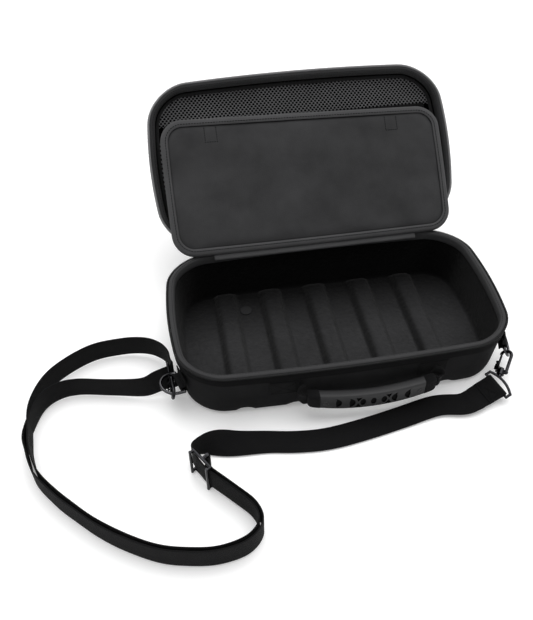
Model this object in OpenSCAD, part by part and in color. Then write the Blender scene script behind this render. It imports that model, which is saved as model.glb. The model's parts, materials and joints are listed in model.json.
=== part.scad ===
// Zippered hard-shell pedalboard case: a ribbed tray and a hinged lid with a
// mesh pocket, a padded divider flap, a moulded grip and a shoulder strap.
// X runs along the case, Y from the grip to the hinge, Z up.
// The origin is on the ground under the middle of the tray.

/* [Case] */
// Length of the case at the rim
case_w = 340; // [320:1:360]
// Depth of the case at the rim, front to back
case_d = 188; // [180:1:200]
// Height of the tray from the ground to the zipper seam
base_h = 60; // [56:1:70]
// Height of the lid above the zipper seam
lid_h = 36; // [30:1:44]
// Corner radius of the rim
corner_r = 42; // [36:1:48]
// How far the middle of each end stands out past its corners
end_bow = 9.5; // [0:0.5:12]
// How far the middle of each long side stands out past its corners
side_bow = 5.5; // [0:0.5:8]
// Thickness of the moulded foam shell
wall = 4; // [3:0.5:5]
// Thickness of the velour lining
lining = 1.2; // [0.8:0.1:1.6]
// How far the lid is open, from closed
open_angle = 136; // [90:1:150]

/* [Floor] */
// Number of raised floor ridges
ridge_count = 5; // [3:1:5]
// Spacing of the ridges
ridge_pitch = 51; // [46:1:54]
// Width of a ridge
ridge_w = 22; // [16:1:26]
// Height of a ridge above the floor
ridge_h = 8; // [5:0.5:10]
// Radius of the rubber cable port plug
port_r = 6.5; // [5:0.5:8]

/* [Divider flap] */
// Width of the flap board
flap_w = 311; // [290:1:312]
// Length of the flap board from hinge end to free end
flap_l = 147; // [130:1:153]
// Thickness of the padded board
flap_t = 6; // [4:0.5:7]

/* [Mesh pocket] */
// Distance from the lid hinge to the pocket zipper
pocket_zip_r = 134; // [110:1:140]
// Width of the pocket zipper tape
pocket_tape_w = 18; // [14:1:22]

/* [Handle] */
// Middle of the handle along the front wall
handle_x = 6; // [-10:1:10]
// How far the grip hangs to the right of that middle
grip_shift = 9; // [-10:1:10]
// Length of the moulded grip
grip_l = 122; // [100:1:124]
// Height of the moulded grip
grip_h = 19; // [16:1:24]
// Thickness of the moulded grip
grip_t = 10; // [8:0.5:12]
// Height of the grip's swing axis above the ground
handle_z = 37; // [34:1:40]

/* [Strap] */
// Width of the shoulder strap webbing
web_w = 25; // [24:0.5:25]
// Thickness of the shoulder strap webbing
web_t = 1.5; // [1.2:0.1:1.6]
// Radius of the wire in the rings on the case
ring_wire = 1.5; // [1.4:0.05:1.6]
// Height of the ring tabs above the ground
tab_z = 30; // [28:1:32]

/* [Hidden] */
$fn = 48;
skin = 0.05;            // gap that keeps stacked layers apart
up = [0, 0, 1];
hinge_y = case_d / 2 + 1.5;
shell_color = "#1b1b1c";
lining_color = "#38383a";
trim_color = "#4a4a4c";
mesh_color = "#2a2a2b";
metal_color = "#5a5a5e";
rubber_color = "#202021";
webbing_color = "#19191a";

// ---- vectors and placing ----
function unit(v) = v / norm(v);
function lerp(a, b, t) = a + (b - a) * t;
function reversed(list) = [for (i = [len(list) - 1:-1:0]) list[i]];
// Part of v at right angles to axis, at length one.
function square_to(v, axis) = unit(v - (v * axis) * axis);
// Puts children in a frame with its origin at o and its own X and Y along x and y.
module frame(o, x, y) {
    z = cross(x, y);
    multmatrix([[x.x, y.x, z.x, o.x], [x.y, y.y, z.y, o.y], [x.z, y.z, z.z, o.z], [0, 0, 0, 1]])
        children();
}
// Carries parts drawn in the closed case to where the open lid holds them.
module in_lid() {
    translate([0, hinge_y, base_h]) rotate([-open_angle, 0, 0])
        translate([0, -hinge_y, -base_h]) children();
}

// ---- case outline ----
// Corner arcs joined by bowed sides; inset shrinks the whole outline.
corner_steps = 6;
side_steps = 5;
outline_n = 4 * (corner_steps + side_steps);
function bowed(p) = [
    p.x * (1 - 2 * end_bow / case_w * pow(2 * p.y / case_d, 2)),
    p.y * (1 - 2 * side_bow / case_d * pow(2 * p.x / case_w, 2))];
function arc_point(k, a, inset) =
    let (r = max(corner_r - inset, 8))
    [((k == 0 || k == 3) ? 1 : -1) * (case_w / 2 - inset - r) + r * cos(a),
     (k < 2 ? 1 : -1) * (case_d / 2 - inset - r) + r * sin(a)];
function outline(inset) = [for (k = [0:3]) each concat(
    [for (i = [0:corner_steps]) bowed(arc_point(k, 90 * (k + i / corner_steps), inset))],
    [for (i = [1:side_steps - 1]) bowed(lerp(arc_point(k, 90 * (k + 1), inset),
        arc_point((k + 1) % 4, 90 * (k + 1), inset), i / side_steps))])];

// ---- skins between stacked [inset, z] rings ----
function ring_points(list) = [for (s = list) each [for (p = outline(s[0])) [p.x, p.y, s[1]]]];
function ring_walls(count, wrap) = [for (j = [0:count - (wrap ? 1 : 2)], i = [0:outline_n - 1])
    let (a = j * outline_n, b = ((j + 1) % count) * outline_n, k = (i + 1) % outline_n)
    each [[a + i, b + k, a + k], [a + i, b + i, b + k]]];
function grown(list, inset, dz) = [for (s = list) [s[0] + inset, s[1] + dz]];
module capped(list) {
    last = (len(list) - 1) * outline_n;
    polyhedron(ring_points(list), concat(ring_walls(len(list), false),
        [[for (i = [0:outline_n - 1]) i], [for (i = [outline_n - 1:-1:0]) last + i]]));
}
module band(list) { polyhedron(ring_points(list), ring_walls(len(list), true)); }

// ---- webbing as a ribbon along a path ----
// Catmull-Rom curve through points that hold [x, y, z, lean].
function spline_at(p, i, t) =
    let (n = len(p) - 1, a = p[max(i - 1, 0)], b = p[i], c = p[i + 1], d = p[min(i + 2, n)])
    0.5 * (2 * b + (c - a) * t + (2 * a - 5 * b + 4 * c - d) * t * t + (3 * b - a - 3 * c + d) * t * t * t);
function spline(p, steps) = concat(
    [for (i = [0:len(p) - 2], j = [0:steps - 1]) spline_at(p, i, j / steps)], [p[len(p) - 1]]);
function xyz(q) = [q[0], q[1], q[2]];
// Across direction of the band: lean 0 stands it on edge, 90 lays it flat.
function across(along, lean) =
    let (flat = unit(cross(along, up)), edge = cross(flat, along))
    cos(lean) * edge + sin(lean) * flat;
function station(path, i, w, t) =
    let (along = unit(xyz(path[min(i + 1, len(path) - 1)]) - xyz(path[max(i - 1, 0)])),
        c = across(along, path[i][3]), n = cross(along, c), o = xyz(path[i]))
    [o + c * w / 2 + n * t / 2, o - c * w / 2 + n * t / 2, o - c * w / 2 - n * t / 2,
     o + c * w / 2 - n * t / 2];
module ribbon(path, w, t) {
    last = len(path) - 1;
    polyhedron([for (i = [0:last]) each station(path, i, w, t)],
        concat([[0, 1, 2, 3], [for (k = [3:-1:0]) 4 * last + k]],
            [for (i = [0:last - 1], k = [0:3])
                let (a = 4 * i, m = (k + 1) % 4) each [[a + k, a + 4 + k, a + 4 + m], [a + k, a + 4 + m, a + m]]]));
}

// ---- tray ----
wall_low = 7;           // how far the wall has drawn in at the floor
tape_t = 1.2;
tape_h = 8;
coil_h = 2;
rim_top = base_h - 0.3;             // highest point of the rim, just below the seam
shell_top = rim_top - 3;
shell_in = tape_t + skin;           // inset of the shell under the zipper tape
outer_rings = [[wall_low + 6, 0], [wall_low + 1.5, 1.8], [wall_low - 1, 6], [4, 24],
    [shell_in, shell_top - tape_h], [shell_in, shell_top]];
cavity_rings = [[wall + wall_low + 5, wall], [wall + wall_low, 9], [wall + 4, 24],
    [wall + shell_in, shell_top]];
ridge_shift = 3;        // the row of ridges sits this far left of the middle
ridge_len = case_d - 2 * (wall + wall_low);
port_pos = [-1.6 * ridge_pitch - ridge_shift, case_d / 4 + 2, 0];

module ridge_profile(w, h) {
    polygon([for (a = [0:12:180]) [w / 2 * sign(cos(a)) * pow(abs(cos(a)), 0.5), h * sqrt(sin(a))]]);
}
module ridges(grow, from_z, len_y) {
    for (i = [0:ridge_count - 1])
        translate([(i - (ridge_count - 1) / 2) * ridge_pitch - ridge_shift, len_y / 2, from_z])
            rotate([90, 0, 0]) linear_extrude(len_y) ridge_profile(ridge_w + 2 * grow, ridge_h + grow);
}
module base_shell() {
    channel = wall - 1;
    color(shell_color) difference() {
        union() {
            capped(concat(outer_rings, reversed(cavity_rings)));
            ridges(0, wall - 0.5, ridge_len);
        }
        ridges(-channel, -0.5, 2 * case_d);
        translate(port_pos) cylinder(r = port_r - 1.5, h = 4 * wall, center = true);
    }
}
module base_lining() {
    color(lining_color) difference() {
        capped(grown(cavity_rings, skin, skin));
        difference() {
            capped(concat(grown(cavity_rings, lining, lining), [[wall + shell_in + lining, base_h]]));
            ridges(lining, wall - 0.5, 2 * case_d);
        }
        ridges(skin, wall - 0.5, 2 * case_d);
        translate(port_pos) cylinder(r = port_r - 1.5, h = 6 * wall, center = true);
    }
}
binding_w = 8;          // width of the rim binding, from the zipper inward
binding_drop = 9;       // how far the binding turns down inside
binding_t = 1.2;
binding_lean = 0.7;     // how far the turned-down lip leans in to clear the lining
module rim_binding() {
    out = shell_in + 0.2;
    low = wall + shell_in + lining + skin;
    band([[out, shell_top + skin], [out + 0.4, rim_top], [binding_w - 0.6, rim_top],
        [low + binding_t, rim_top - 0.8], [low + binding_t + binding_lean, rim_top - binding_drop],
        [low + binding_lean, rim_top - binding_drop], [low, shell_top + skin + lining]]);
}
spine_w = 232;          // length of the back seam that has no zipper
module without_spine() {
    difference() {
        children();
        translate([-spine_w / 2, case_d / 4, 0]) cube([spine_w, case_d, 2 * base_h]);
    }
}
module zipper_tape() {
    without_spine() band([[0, shell_top - tape_h], [0, rim_top - coil_h - skin],
        [tape_t, rim_top - coil_h - skin], [tape_t, shell_top - tape_h]]);
}
module zipper_coil() {
    without_spine() band([[-1, rim_top - coil_h], [-1, rim_top - 0.4], [-0.6, rim_top],
        [0.9, rim_top], [tape_t, rim_top - 0.4], [tape_t, rim_top - coil_h]]);
}
module base_binding() { color(trim_color) rim_binding(); }
module base_zipper_tape() { color(shell_color) zipper_tape(); }
module base_zipper_coil() { color(mesh_color) zipper_coil(); }
module cable_port_plug() {
    flange_z = wall + lining + skin;
    color(rubber_color) translate(port_pos) {
        translate([0, 0, 0.6]) cylinder(r = port_r - 1.5 - skin, h = flange_z);
        translate([0, 0, flange_z + 0.1]) cylinder(r = port_r, h = 1.2);
    }
}

// Sewn patches that hold the handle webbing to the front wall.
patch_gap = 74;         // from the middle of the handle to the middle of a patch
patch_w = 30;
patch_h = 22;
patch_t = 2;
module handle_patches() {
    color(webbing_color) for (s = [-1, 1]) intersection() {
        difference() {
            capped(grown(outer_rings, -patch_t - skin, 0));
            capped(grown(outer_rings, -skin, 0));
        }
        translate([handle_x + s * patch_gap - patch_w / 2, -case_d, handle_z - patch_h / 2])
            cube([patch_w, case_d, patch_h]);
    }
}

// Cloth spine behind the hinge line, with the fold that the lid turns on.
spine_len = 206;
module hinge_spine() {
    color(shell_color) {
        translate([-spine_len / 2, case_d / 2 - 1, base_h - 16]) cube([spine_len, tape_t, 16 - 1.8]);
        translate([-spine_len / 2, hinge_y, base_h]) rotate([0, 90, 0]) cylinder(r = 1.2, h = spine_len);
        translate([-spine_len / 2, case_d / 2 - 0.6, base_h - 2]) cube([spine_len, 1.6, 2]);
    }
}

// Main zipper sliders, parked at the two ends of the zipper beside the spine.
park_x = (spine_w + spine_len) / 4;
slider_l = 9;
pull_len = 24;
pull_y = hinge_y + 2.4;
pull_z = base_h - 3;
module zipper_slider(s) {
    color(metal_color) translate([s * park_x, hinge_y - 2.4, pull_z]) {
        translate([-slider_l / 2, -2.4, -2.2]) cube([slider_l, 4.4, 4.4]);
        rotate([-90, 0, 0]) cylinder(r = 1, h = 6.8);
        translate([0, 6.1, 0]) rotate([-90, 0, 0]) cylinder(r = 1.7, h = 0.8);
    }
}
module zipper_pull(s) {
    color(metal_color) translate([s * park_x, pull_y - 0.1, pull_z]) difference() {
        union() {
            rotate([-90, 0, 0]) cylinder(r = 2.6, h = 1.2);
            translate([-2.2, 0, -pull_len]) cube([4.4, 1.2, pull_len]);
            translate([0, 0, -pull_len]) rotate([-90, 0, 0]) cylinder(r = 2.2, h = 1.2);
        }
        translate([0, -1, 0]) rotate([-90, 0, 0]) cylinder(r = 1.08, h = 4);
        translate([0, -1, -pull_len + 1]) rotate([-90, 0, 0]) cylinder(r = 1.1, h = 4);
    }
}
module zipper_slider_left() { zipper_slider(-1); }
module zipper_slider_right() { zipper_slider(1); }
module zipper_pull_left() { zipper_pull(-1); }
module zipper_pull_right() { zipper_pull(1); }

// ---- lid, drawn closed over the tray as the tray's mirror image ----
module flipped() { translate([0, 0, 2 * base_h]) mirror([0, 0, 1]) children(); }
lid_floor = base_h - lid_h;         // the lid's flat top, seen in the mirrored frame
lid_outer = [[wall_low + 9, lid_floor], [wall_low + 2.5, lid_floor + 2], [wall_low - 1.5, lid_floor + 7],
    [shell_in, shell_top - tape_h], [shell_in, shell_top]];
lid_cavity = [[wall + wall_low + 7, lid_floor + wall], [wall + wall_low - 1.5, lid_floor + wall + 5],
    [wall + shell_in, shell_top - tape_h], [wall + shell_in, shell_top]];
module lid_shell() {
    color(shell_color) in_lid() flipped() capped(concat(lid_outer, reversed(lid_cavity)));
}
module lid_lining() {
    color(lining_color) in_lid() flipped() difference() {
        capped(grown(lid_cavity, skin, skin));
        capped(concat(grown(lid_cavity, lining, lining), [[wall + shell_in + lining, base_h]]));
    }
}
module lid_binding() { color(trim_color) in_lid() flipped() rim_binding(); }
module lid_zipper_tape() { color(shell_color) in_lid() flipped() zipper_tape(); }
module lid_zipper_coil() { color(mesh_color) in_lid() flipped() zipper_coil(); }

// ---- mesh pocket inside the lid ----
pocket_t = 1;
pocket_z = rim_top - binding_drop - 3;      // sheet height in the mirrored frame
pocket_in = wall + shell_in + lining + 2;   // clear of the lid's lining
zip_y = hinge_y - pocket_zip_r;
rim_strip = 6;
pocket_joint = 0.1;     // gap between the pocket's sewn pieces
module pocket_sheet(inset) { capped([[inset, pocket_z], [inset, pocket_z + pocket_t]]); }
module across_case(y0, y1) {
    translate([-case_w, y0, 0]) cube([2 * case_w, y1 - y0, 2 * base_h]);
}
half_tape = pocket_tape_w / 2;
module pocket_mesh_upper() {
    color(mesh_color) in_lid() flipped() intersection() {
        pocket_sheet(pocket_in + rim_strip + pocket_joint);
        across_case(-case_d, zip_y - half_tape - pocket_joint);
    }
}
module pocket_mesh_lower() {
    color(mesh_color) in_lid() flipped() intersection() {
        pocket_sheet(pocket_in + rim_strip + pocket_joint);
        across_case(zip_y + half_tape + pocket_joint, case_d);
    }
}
module pocket_binding() {
    color(trim_color) in_lid() flipped() band([[pocket_in, pocket_z], [pocket_in, pocket_z + 1.4],
        [pocket_in + rim_strip, pocket_z + 1.4], [pocket_in + rim_strip, pocket_z]]);
}
module pocket_zipper_tape() {
    color(shell_color) in_lid() flipped() intersection() {
        pocket_sheet(pocket_in + rim_strip + pocket_joint);
        difference() {
            across_case(zip_y - half_tape, zip_y + half_tape);
            across_case(zip_y - 1.6, zip_y + 1.6);
        }
    }
}
coil_len = case_w - 2 * (pocket_in + rim_strip) - 14;
module pocket_zipper_coil() {
    color(mesh_color) in_lid() flipped()
        translate([-coil_len / 2, zip_y - 1.4, pocket_z]) cube([coil_len, 2.8, 1.6]);
}
// The slider rides over the coil, on the side of the sheet that faces out of the lid.
pocket_park_x = coil_len / 2 - 8;
deck_z = pocket_z + 1.8;
module pocket_zipper_slider() {
    color(metal_color) in_lid() flipped() translate([pocket_park_x, zip_y, deck_z]) {
        translate([-5, -3.4, 0]) cube([10, 6.8, 1.4]);
        cylinder(r = 0.9, h = 4);
        translate([0, 0, 3.4]) cylinder(r = 1.6, h = 0.8);
    }
}
module pocket_zipper_pull() {
    length = 20;
    color(metal_color) in_lid() flipped() translate([pocket_park_x, zip_y, deck_z + 1.8]) difference() {
        union() {
            cylinder(r = 2.4, h = 1.2);
            translate([-1.9, 0, 0]) cube([3.8, length, 1.2]);
            translate([0, length, 0]) cylinder(r = 1.9, h = 1.2);
        }
        translate([0, 0, -1]) cylinder(r = 0.98, h = 4);
    }
}

// ---- divider flap, drawn lying along Y before it is tipped back ----
flap_back = 12;         // how far its hinge lies behind the lid's, along the open lid
flap_front = 9;         // how far its middle plane stands in front of the lid's rim
flap_y = hinge_y + flap_back * cos(open_angle) - flap_front * sin(open_angle);
flap_z = base_h - flap_back * sin(open_angle) - flap_front * cos(open_angle);
flap_start = 5;
flap_r = 22;
flap_trim = 7;
module in_flap() { translate([0, flap_y, flap_z]) rotate([180 - open_angle, 0, 0]) children(); }
module rounded_plate(w, l, r, t) {
    for (a = [0, 1]) translate([a ? -w / 2 : -w / 2 + r, a ? r : 0, -t / 2])
        cube([a ? w : w - 2 * r, a ? l - 2 * r : l, t]);
    for (x = [-1, 1], y = [r, l - r]) translate([x * (w / 2 - r), y, 0]) cylinder(r = r, h = t, center = true);
}
module flap_board() {
    color(lining_color) in_flap() translate([0, flap_start + flap_trim, 0])
        rounded_plate(flap_w - 2 * flap_trim, flap_l - 2 * flap_trim, flap_r - flap_trim, flap_t);
}
module flap_binding() {
    color(trim_color) in_flap() translate([0, flap_start, 0]) difference() {
        rounded_plate(flap_w, flap_l, flap_r, flap_t - 1);
        translate([0, flap_trim - skin, 0]) rounded_plate(flap_w - 2 * (flap_trim - skin),
            flap_l - 2 * (flap_trim - skin), flap_r - flap_trim + skin, 2 * flap_t);
    }
}
// Hook-and-loop tabs sewn to the side of the flap that faces the lid.
module flap_tabs() {
    color(webbing_color) in_flap() for (s = [-1, 1])
        translate([s * 101 - 8, flap_start + flap_l - 30, -flap_t / 2 - 1.2]) cube([16, 18, 1.15]);
}
module flap_hinge_strip() {
    color(trim_color) {
        translate([-113, flap_y, flap_z]) rotate([0, 90, 0]) cylinder(r = 1.3, h = 226);
        in_flap() translate([-113, 0, -0.6]) cube([226, flap_start - 0.2, 1.2]);
    }
}

// ---- handle ----
pivot_y = -case_d / 2 - 1.5;
grip_y = pivot_y - 12.5;
grip_z = handle_z - 9.5;
rivet_in = 16;          // from the end of the grip to the rivet
grip_x = handle_x + grip_shift;
handle_web_w = 15;
handle_web_t = 2;
module rounded_bar(l, h, t, r) {
    rotate([90, 0, 90]) linear_extrude(l, center = true) union() {
        square([t - 2 * r, h], center = true);
        square([t, h - 2 * r], center = true);
        for (x = [-1, 1], y = [-1, 1]) translate([x * (t / 2 - r), y * (h / 2 - r)]) circle(r);
    }
}
// Moulded relief on the grip's face, from the middle out to one end.
module face_relief(s) {
    translate([s * 6, 0, 0]) scale([0.62, 1, 1]) cylinder(r = 5.5, h = 3);
    for (y = [-1, 1]) translate([s * 13, y * 4.4, 0]) cylinder(r = 2.3, h = 3, $fn = 3);
    for (x = [20, 30]) difference() {
        translate([s * x, 0, 0]) cylinder(r = 7, h = 3);
        translate([s * (x - 4.5), 0, -1]) cylinder(r = 8.4, h = 5);
    }
}
module handle_grip() {
    slot = rivet_in + 6;
    color(rubber_color) translate([grip_x, grip_y, grip_z]) difference() {
        rounded_bar(grip_l, grip_h, grip_t, 2.5);
        for (s = [-1, 1]) {
            translate([s * (grip_l / 2 - slot / 2 + 1), 0, 0])
                cube([slot + 2, handle_web_t + 0.4, handle_web_w + 0.6], center = true);
            translate([s * (grip_l / 2 - rivet_in), 0, 0]) rotate([90, 0, 0])
                cylinder(r = 2.05, h = 2 * grip_t, center = true);
            translate([0, -grip_t / 2 + 1.2, 0]) rotate([90, 0, 0]) face_relief(s);
        }
    }
}
// Each arm hangs from a sewn roll on the patch, folds square and runs into the grip.
module handle_webbing() {
    reach = grip_l / 2;
    drop = [0, grip_y - pivot_y, grip_z - handle_z];
    arm_w = 9;
    inside = rivet_in + 5;
    color(webbing_color) translate([grip_x, pivot_y, handle_z]) for (s = [-1, 1]) {
        translate([s * (reach + 1 + arm_w / 2), 0, 0]) {
            rotate([0, 90, 0]) cylinder(r = 1.9, h = arm_w, center = true);
            rotate([atan2(drop.z, drop.y), 0, 0]) translate([-arm_w / 2, 0, -handle_web_t / 2])
                cube([arm_w, norm(drop), handle_web_t]);
        }
        translate(drop) difference() {
            translate([s * (reach + (1 + arm_w - inside) / 2), 0, 0])
                cube([inside + 1 + arm_w, handle_web_t, handle_web_w], center = true);
            translate([s * (reach - rivet_in), 0, 0]) rotate([90, 0, 0])
                cylinder(r = 2.05, h = 10, center = true);
        }
    }
}
module handle_rivets() {
    color(metal_color) for (s = [-1, 1])
        translate([grip_x + s * (grip_l / 2 - rivet_in), grip_y, grip_z]) rotate([90, 0, 0]) {
            cylinder(r = 2, h = grip_t + 0.1, center = true);
            translate([0, 0, grip_t / 2 + 0.05]) cylinder(r1 = 4.2, r2 = 3.4, h = 1.1);
            translate([0, 0, -grip_t / 2 - 1.15]) cylinder(r = 3.4, h = 1.1);
        }
}

// ---- rings on the case ends ----
tab_yaw = 17;           // how far round the front corner a tab sits, from the end
tab_stand = 4.6;        // from the wall to the ring's straight bar
ring_bar = 26;
ring_leg = 6;
tilt_left = 10;
tilt_right = -62;
function end_side(s, a) = [s * cos(a), -sin(a), 0];
function tab_front(s) = [-s * sin(tab_yaw), -cos(tab_yaw), 0];
function tab_wall(s) = let (r = corner_r - 2.9, p = bowed([case_w / 2 - corner_r + r * cos(tab_yaw),
    -(case_d / 2 - corner_r) - r * sin(tab_yaw)])) [s * p.x, p.y, tab_z];
function tab_pos(s) = tab_wall(s) + tab_stand * end_side(s, tab_yaw);
function ring_out(s, tilt) = end_side(s, tab_yaw) * cos(tilt) + up * sin(tilt);
// A point on the middle of the ring's bow, a degrees round towards the front.
function ring_point(s, tilt, a) = tab_pos(s) + ring_out(s, tilt) * (ring_leg + ring_bar / 2 * cos(a))
    + tab_front(s) * ring_bar / 2 * sin(a);
function ring_tangent(s, tilt, a) = tab_front(s) * cos(a) - ring_out(s, tilt) * sin(a);

module ring_tab(s) {
    tab_len = 20;
    color(webbing_color) frame(tab_pos(s), end_side(s, tab_yaw), tab_front(s)) difference() {
        union() {
            rotate([90, 0, 0]) cylinder(r = 2.7, h = tab_len, center = true);
            rotate([0, -s * 6, 0]) translate([0.3 - tab_stand, -tab_len / 2, s > 0 ? -14 : -4])
                cube([1.5, tab_len, 18]);
            translate([0.6 - tab_stand, -tab_len / 2, -1.4]) cube([3, tab_len, 2.8]);
        }
        rotate([90, 0, 0]) cylinder(r = ring_wire + 0.08, h = 2 * tab_len, center = true);
    }
}
// D-shaped wire loop: straight bar on Y through the origin, bow towards X.
module d_wire(bar, bow, leg, wire) {
    r = bow_radius(bar, bow);
    half = asin(bar / 2 / r);
    rotate([90, 0, 0]) cylinder(r = wire, h = bar, center = true);
    for (s = [-1, 1]) translate([0, s * bar / 2, 0]) {
        sphere(r = wire + 0.15);
        rotate([0, 90, 0]) cylinder(r = wire, h = leg);
        if (half < 89) translate([leg, 0, 0]) sphere(r = wire + 0.15);
    }
    translate([leg + bow - r, 0, 0]) rotate([0, 0, -half])
        rotate_extrude(angle = 2 * half) translate([r, 0]) circle(wire);
}
module d_ring(s, tilt) {
    color(metal_color) frame(tab_pos(s), ring_out(s, tilt), tab_front(s)) 
        d_wire(ring_bar, ring_bar / 2, ring_leg, ring_wire);
}
module ring_tab_left() { ring_tab(-1); }
module ring_tab_right() { ring_tab(1); }
module d_ring_left() { d_ring(-1, tilt_left); }
module d_ring_right() { d_ring(1, tilt_right); }

// ---- snap hooks ----
// In a hook's own frame X runs from the nose to the strap eye and Z is square to the loop.
hook_wire = 1.6;
hook_half = 5.2;        // from the middle of the loop to each leg
hook_len = 20;          // from the swivel collar to the middle of the nose
nose_seat = hook_len + hook_half - hook_wire - ring_wire - 0.3;
gate_x = -6;            // gate pivot
gate_y = -4.6;
pin_r = 0.8;
post_r = 1.6;
eye_wire = 1.4;
eye_bar = 30;
eye_leg = 5;            // straight sides of the eye, from its bar to its bow
eye_bow = 4;
eye_stem = 5.5;         // from the collar to that bow
// How far each eye has slid round its own bow.
function eye_skew(s) = s > 0 ? -34 : 0;
function bow_radius(bar, bow) = (bar * bar / 4 + bow * bow) / (2 * bow);
// From the collar to the middle of the eye's straight bar.
function eye_reach(s) = let (r = bow_radius(eye_bar, eye_bow), c = r - eye_bow - eye_leg, a = eye_skew(s))
    eye_stem + sqrt(r * r - pow(c * sin(a), 2)) - c * cos(a);
// Where on a ring's bow the nose sits, round towards the front.
function seat_angle(s) = s > 0 ? 78 : 66;
function hook_axis(s) = s > 0
    ? unit([-0.54, -0.76, -0.3])
    : unit([-176, -33, 16] - ring_point(-1, tilt_left, seat_angle(-1)));
function hook_tilt(s) = s > 0 ? tilt_right : tilt_left;
function hook_square(s) = square_to(ring_tangent(s, hook_tilt(s), seat_angle(s)), hook_axis(s));
function hook_pos(s) = ring_point(s, hook_tilt(s), seat_angle(s)) + nose_seat * hook_axis(s);
function eye_pos(s) = hook_pos(s) + eye_reach(s) * hook_axis(s);
// The eye may be turned about the swivel: its bar lies flat on the right, upright on the left.
function eye_square(s) = s > 0 ? square_to(up, hook_axis(s)) : unit(cross(hook_axis(s), up));
function eye_rise(s) = cross(eye_square(s), hook_axis(s));
// Along the eye's straight bar, and away from the hook at right angles to it.
function bar_dir(s) = cos(eye_skew(s)) * eye_rise(s) - sin(eye_skew(s)) * hook_axis(s);
function bar_out(s) = cos(eye_skew(s)) * hook_axis(s) + sin(eye_skew(s)) * eye_rise(s);
module in_hook(s) {
    frame(hook_pos(s), hook_axis(s), cross(hook_square(s), hook_axis(s))) children();
}
module hook_body(s) {
    color(metal_color) in_hook(s) difference() {
        union() {
            translate([-2.8, 0, 0]) rotate([0, 90, 0]) cylinder(r = 3.8, h = 5.6);
            translate([-0.8, hook_half, 0]) sphere(r = 2.2);
            translate([-0.8, 0, 0]) rotate([-90, 0, 0]) cylinder(r = 2.2, h = hook_half);
            translate([-hook_len, hook_half, 0]) rotate([0, 90, 0]) cylinder(r = hook_wire, h = hook_len);
            translate([-hook_len, 0, 0]) rotate([0, 0, 90]) rotate_extrude(angle = 180)
                translate([hook_half, 0]) circle(hook_wire);
            for (z = [-1, 1]) {
                translate([gate_x, gate_y, z * 2.6]) cylinder(r = 2.2, h = 0.9, center = true);
                translate([gate_x, gate_y - 2.2, z * 2.6 - 0.45]) cube([5, 4.4, 0.9]);
            }
        }
        rotate([0, 90, 0]) cylinder(r = post_r + 0.06, h = 20, center = true);
        translate([gate_x, gate_y, 0]) cylinder(r = pin_r, h = 12, center = true);
    }
}
module hook_gate(s) {
    reach = hook_len + gate_x - 1.2;
    color(metal_color) in_hook(s) translate([gate_x, gate_y, 0]) difference() {
        union() {
            cylinder(r = 2, h = 2.2, center = true);
            rotate([0, -90, 0]) cylinder(r = 1.1, h = reach);
            translate([-5, -1.6, 0]) rotate([90, 0, 0]) cylinder(r = 1.5, h = 2.4, center = true);
        }
        cylinder(r = pin_r + 0.05, h = 8, center = true);
    }
}
module hook_pin(s) {
    color(metal_color) in_hook(s) translate([gate_x, gate_y, 0]) cylinder(r = pin_r - 0.01, h = 7, center = true);
}
// Coils of the gate's torsion spring, between the gate and one ear.
module hook_spring(s) {
    color(metal_color) in_hook(s) for (z = [1.35, 1.85])
        translate([gate_x, gate_y, z]) rotate_extrude() translate([1.4, 0]) circle(0.22);
}
module hook_eye(s) {
    color(metal_color) frame(hook_pos(s), hook_axis(s), eye_rise(s)) {
        translate([-4.4, 0, 0]) rotate([0, 90, 0]) cylinder(r = post_r, h = 4.4 + eye_stem);
        translate([-4.8, 0, 0]) rotate([0, 90, 0]) cylinder(r = 2.4, h = 1.6);
        translate([3.1, 0, 0]) rotate([0, 90, 0]) cylinder(r = 2.4, h = 2.4);
        translate([eye_reach(s), 0, 0]) rotate([0, 0, 180 + eye_skew(s)]) d_wire(eye_bar, eye_bow, eye_leg, eye_wire);
    }
}
module hook_body_left() { hook_body(-1); }
module hook_body_right() { hook_body(1); }
module hook_gate_left() { hook_gate(-1); }
module hook_gate_right() { hook_gate(1); }
module hook_pin_left() { hook_pin(-1); }
module hook_pin_right() { hook_pin(1); }
module hook_spring_left() { hook_spring(-1); }
module hook_spring_right() { hook_spring(1); }
module hook_eye_left() { hook_eye(-1); }
module hook_eye_right() { hook_eye(1); }

// ---- shoulder strap, lying on the ground ----
edge_z = web_w / 2 + 0.8;
layer_gap = 1.7;        // from the middle of the doubled strap to each layer
frame_l = 24;           // the slider's bars, end to end and top to bottom
frame_h = 29;
bar_r = 1.4;
slider_rise = frame_h / 2 + bar_r + 0.05 - edge_z;     // the slider stands on its lower edge
slider_pos = [-153.5, -152.5, edge_z + slider_rise];
slider_dir = unit([0.53, -0.85, 0]);
// The doubled stretch, from the slider round to the far left: [x, y, height above lying on edge].
loop_path = [[-147, -163, slider_rise], [-130, -181, 1.4], [-114, -200, 0.5], [-111, -217, 0],
    [-124, -231, 0], [-149, -236.5, 0], [-175, -233.5, 0], [-199, -226.5, 0], [-225, -212, 0],
    [-248, -195, 0], [-267, -177, 0], [-284, -159, 0], [-301, -136, 0], [-309, -112, 0], [-312, -90, 0]];
function sideways(p, i) = unit(cross([(p[min(i + 1, len(p) - 1)] - p[max(i - 1, 0)]).x,
    (p[min(i + 1, len(p) - 1)] - p[max(i - 1, 0)]).y, 0], up));
function layer(p, gap) = [for (i = [0:len(p) - 1]) let (n = sideways(p, i))
    [p[i].x + gap * n.x, p[i].y + gap * n.y, edge_z + p[i].z, 0]];
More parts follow.
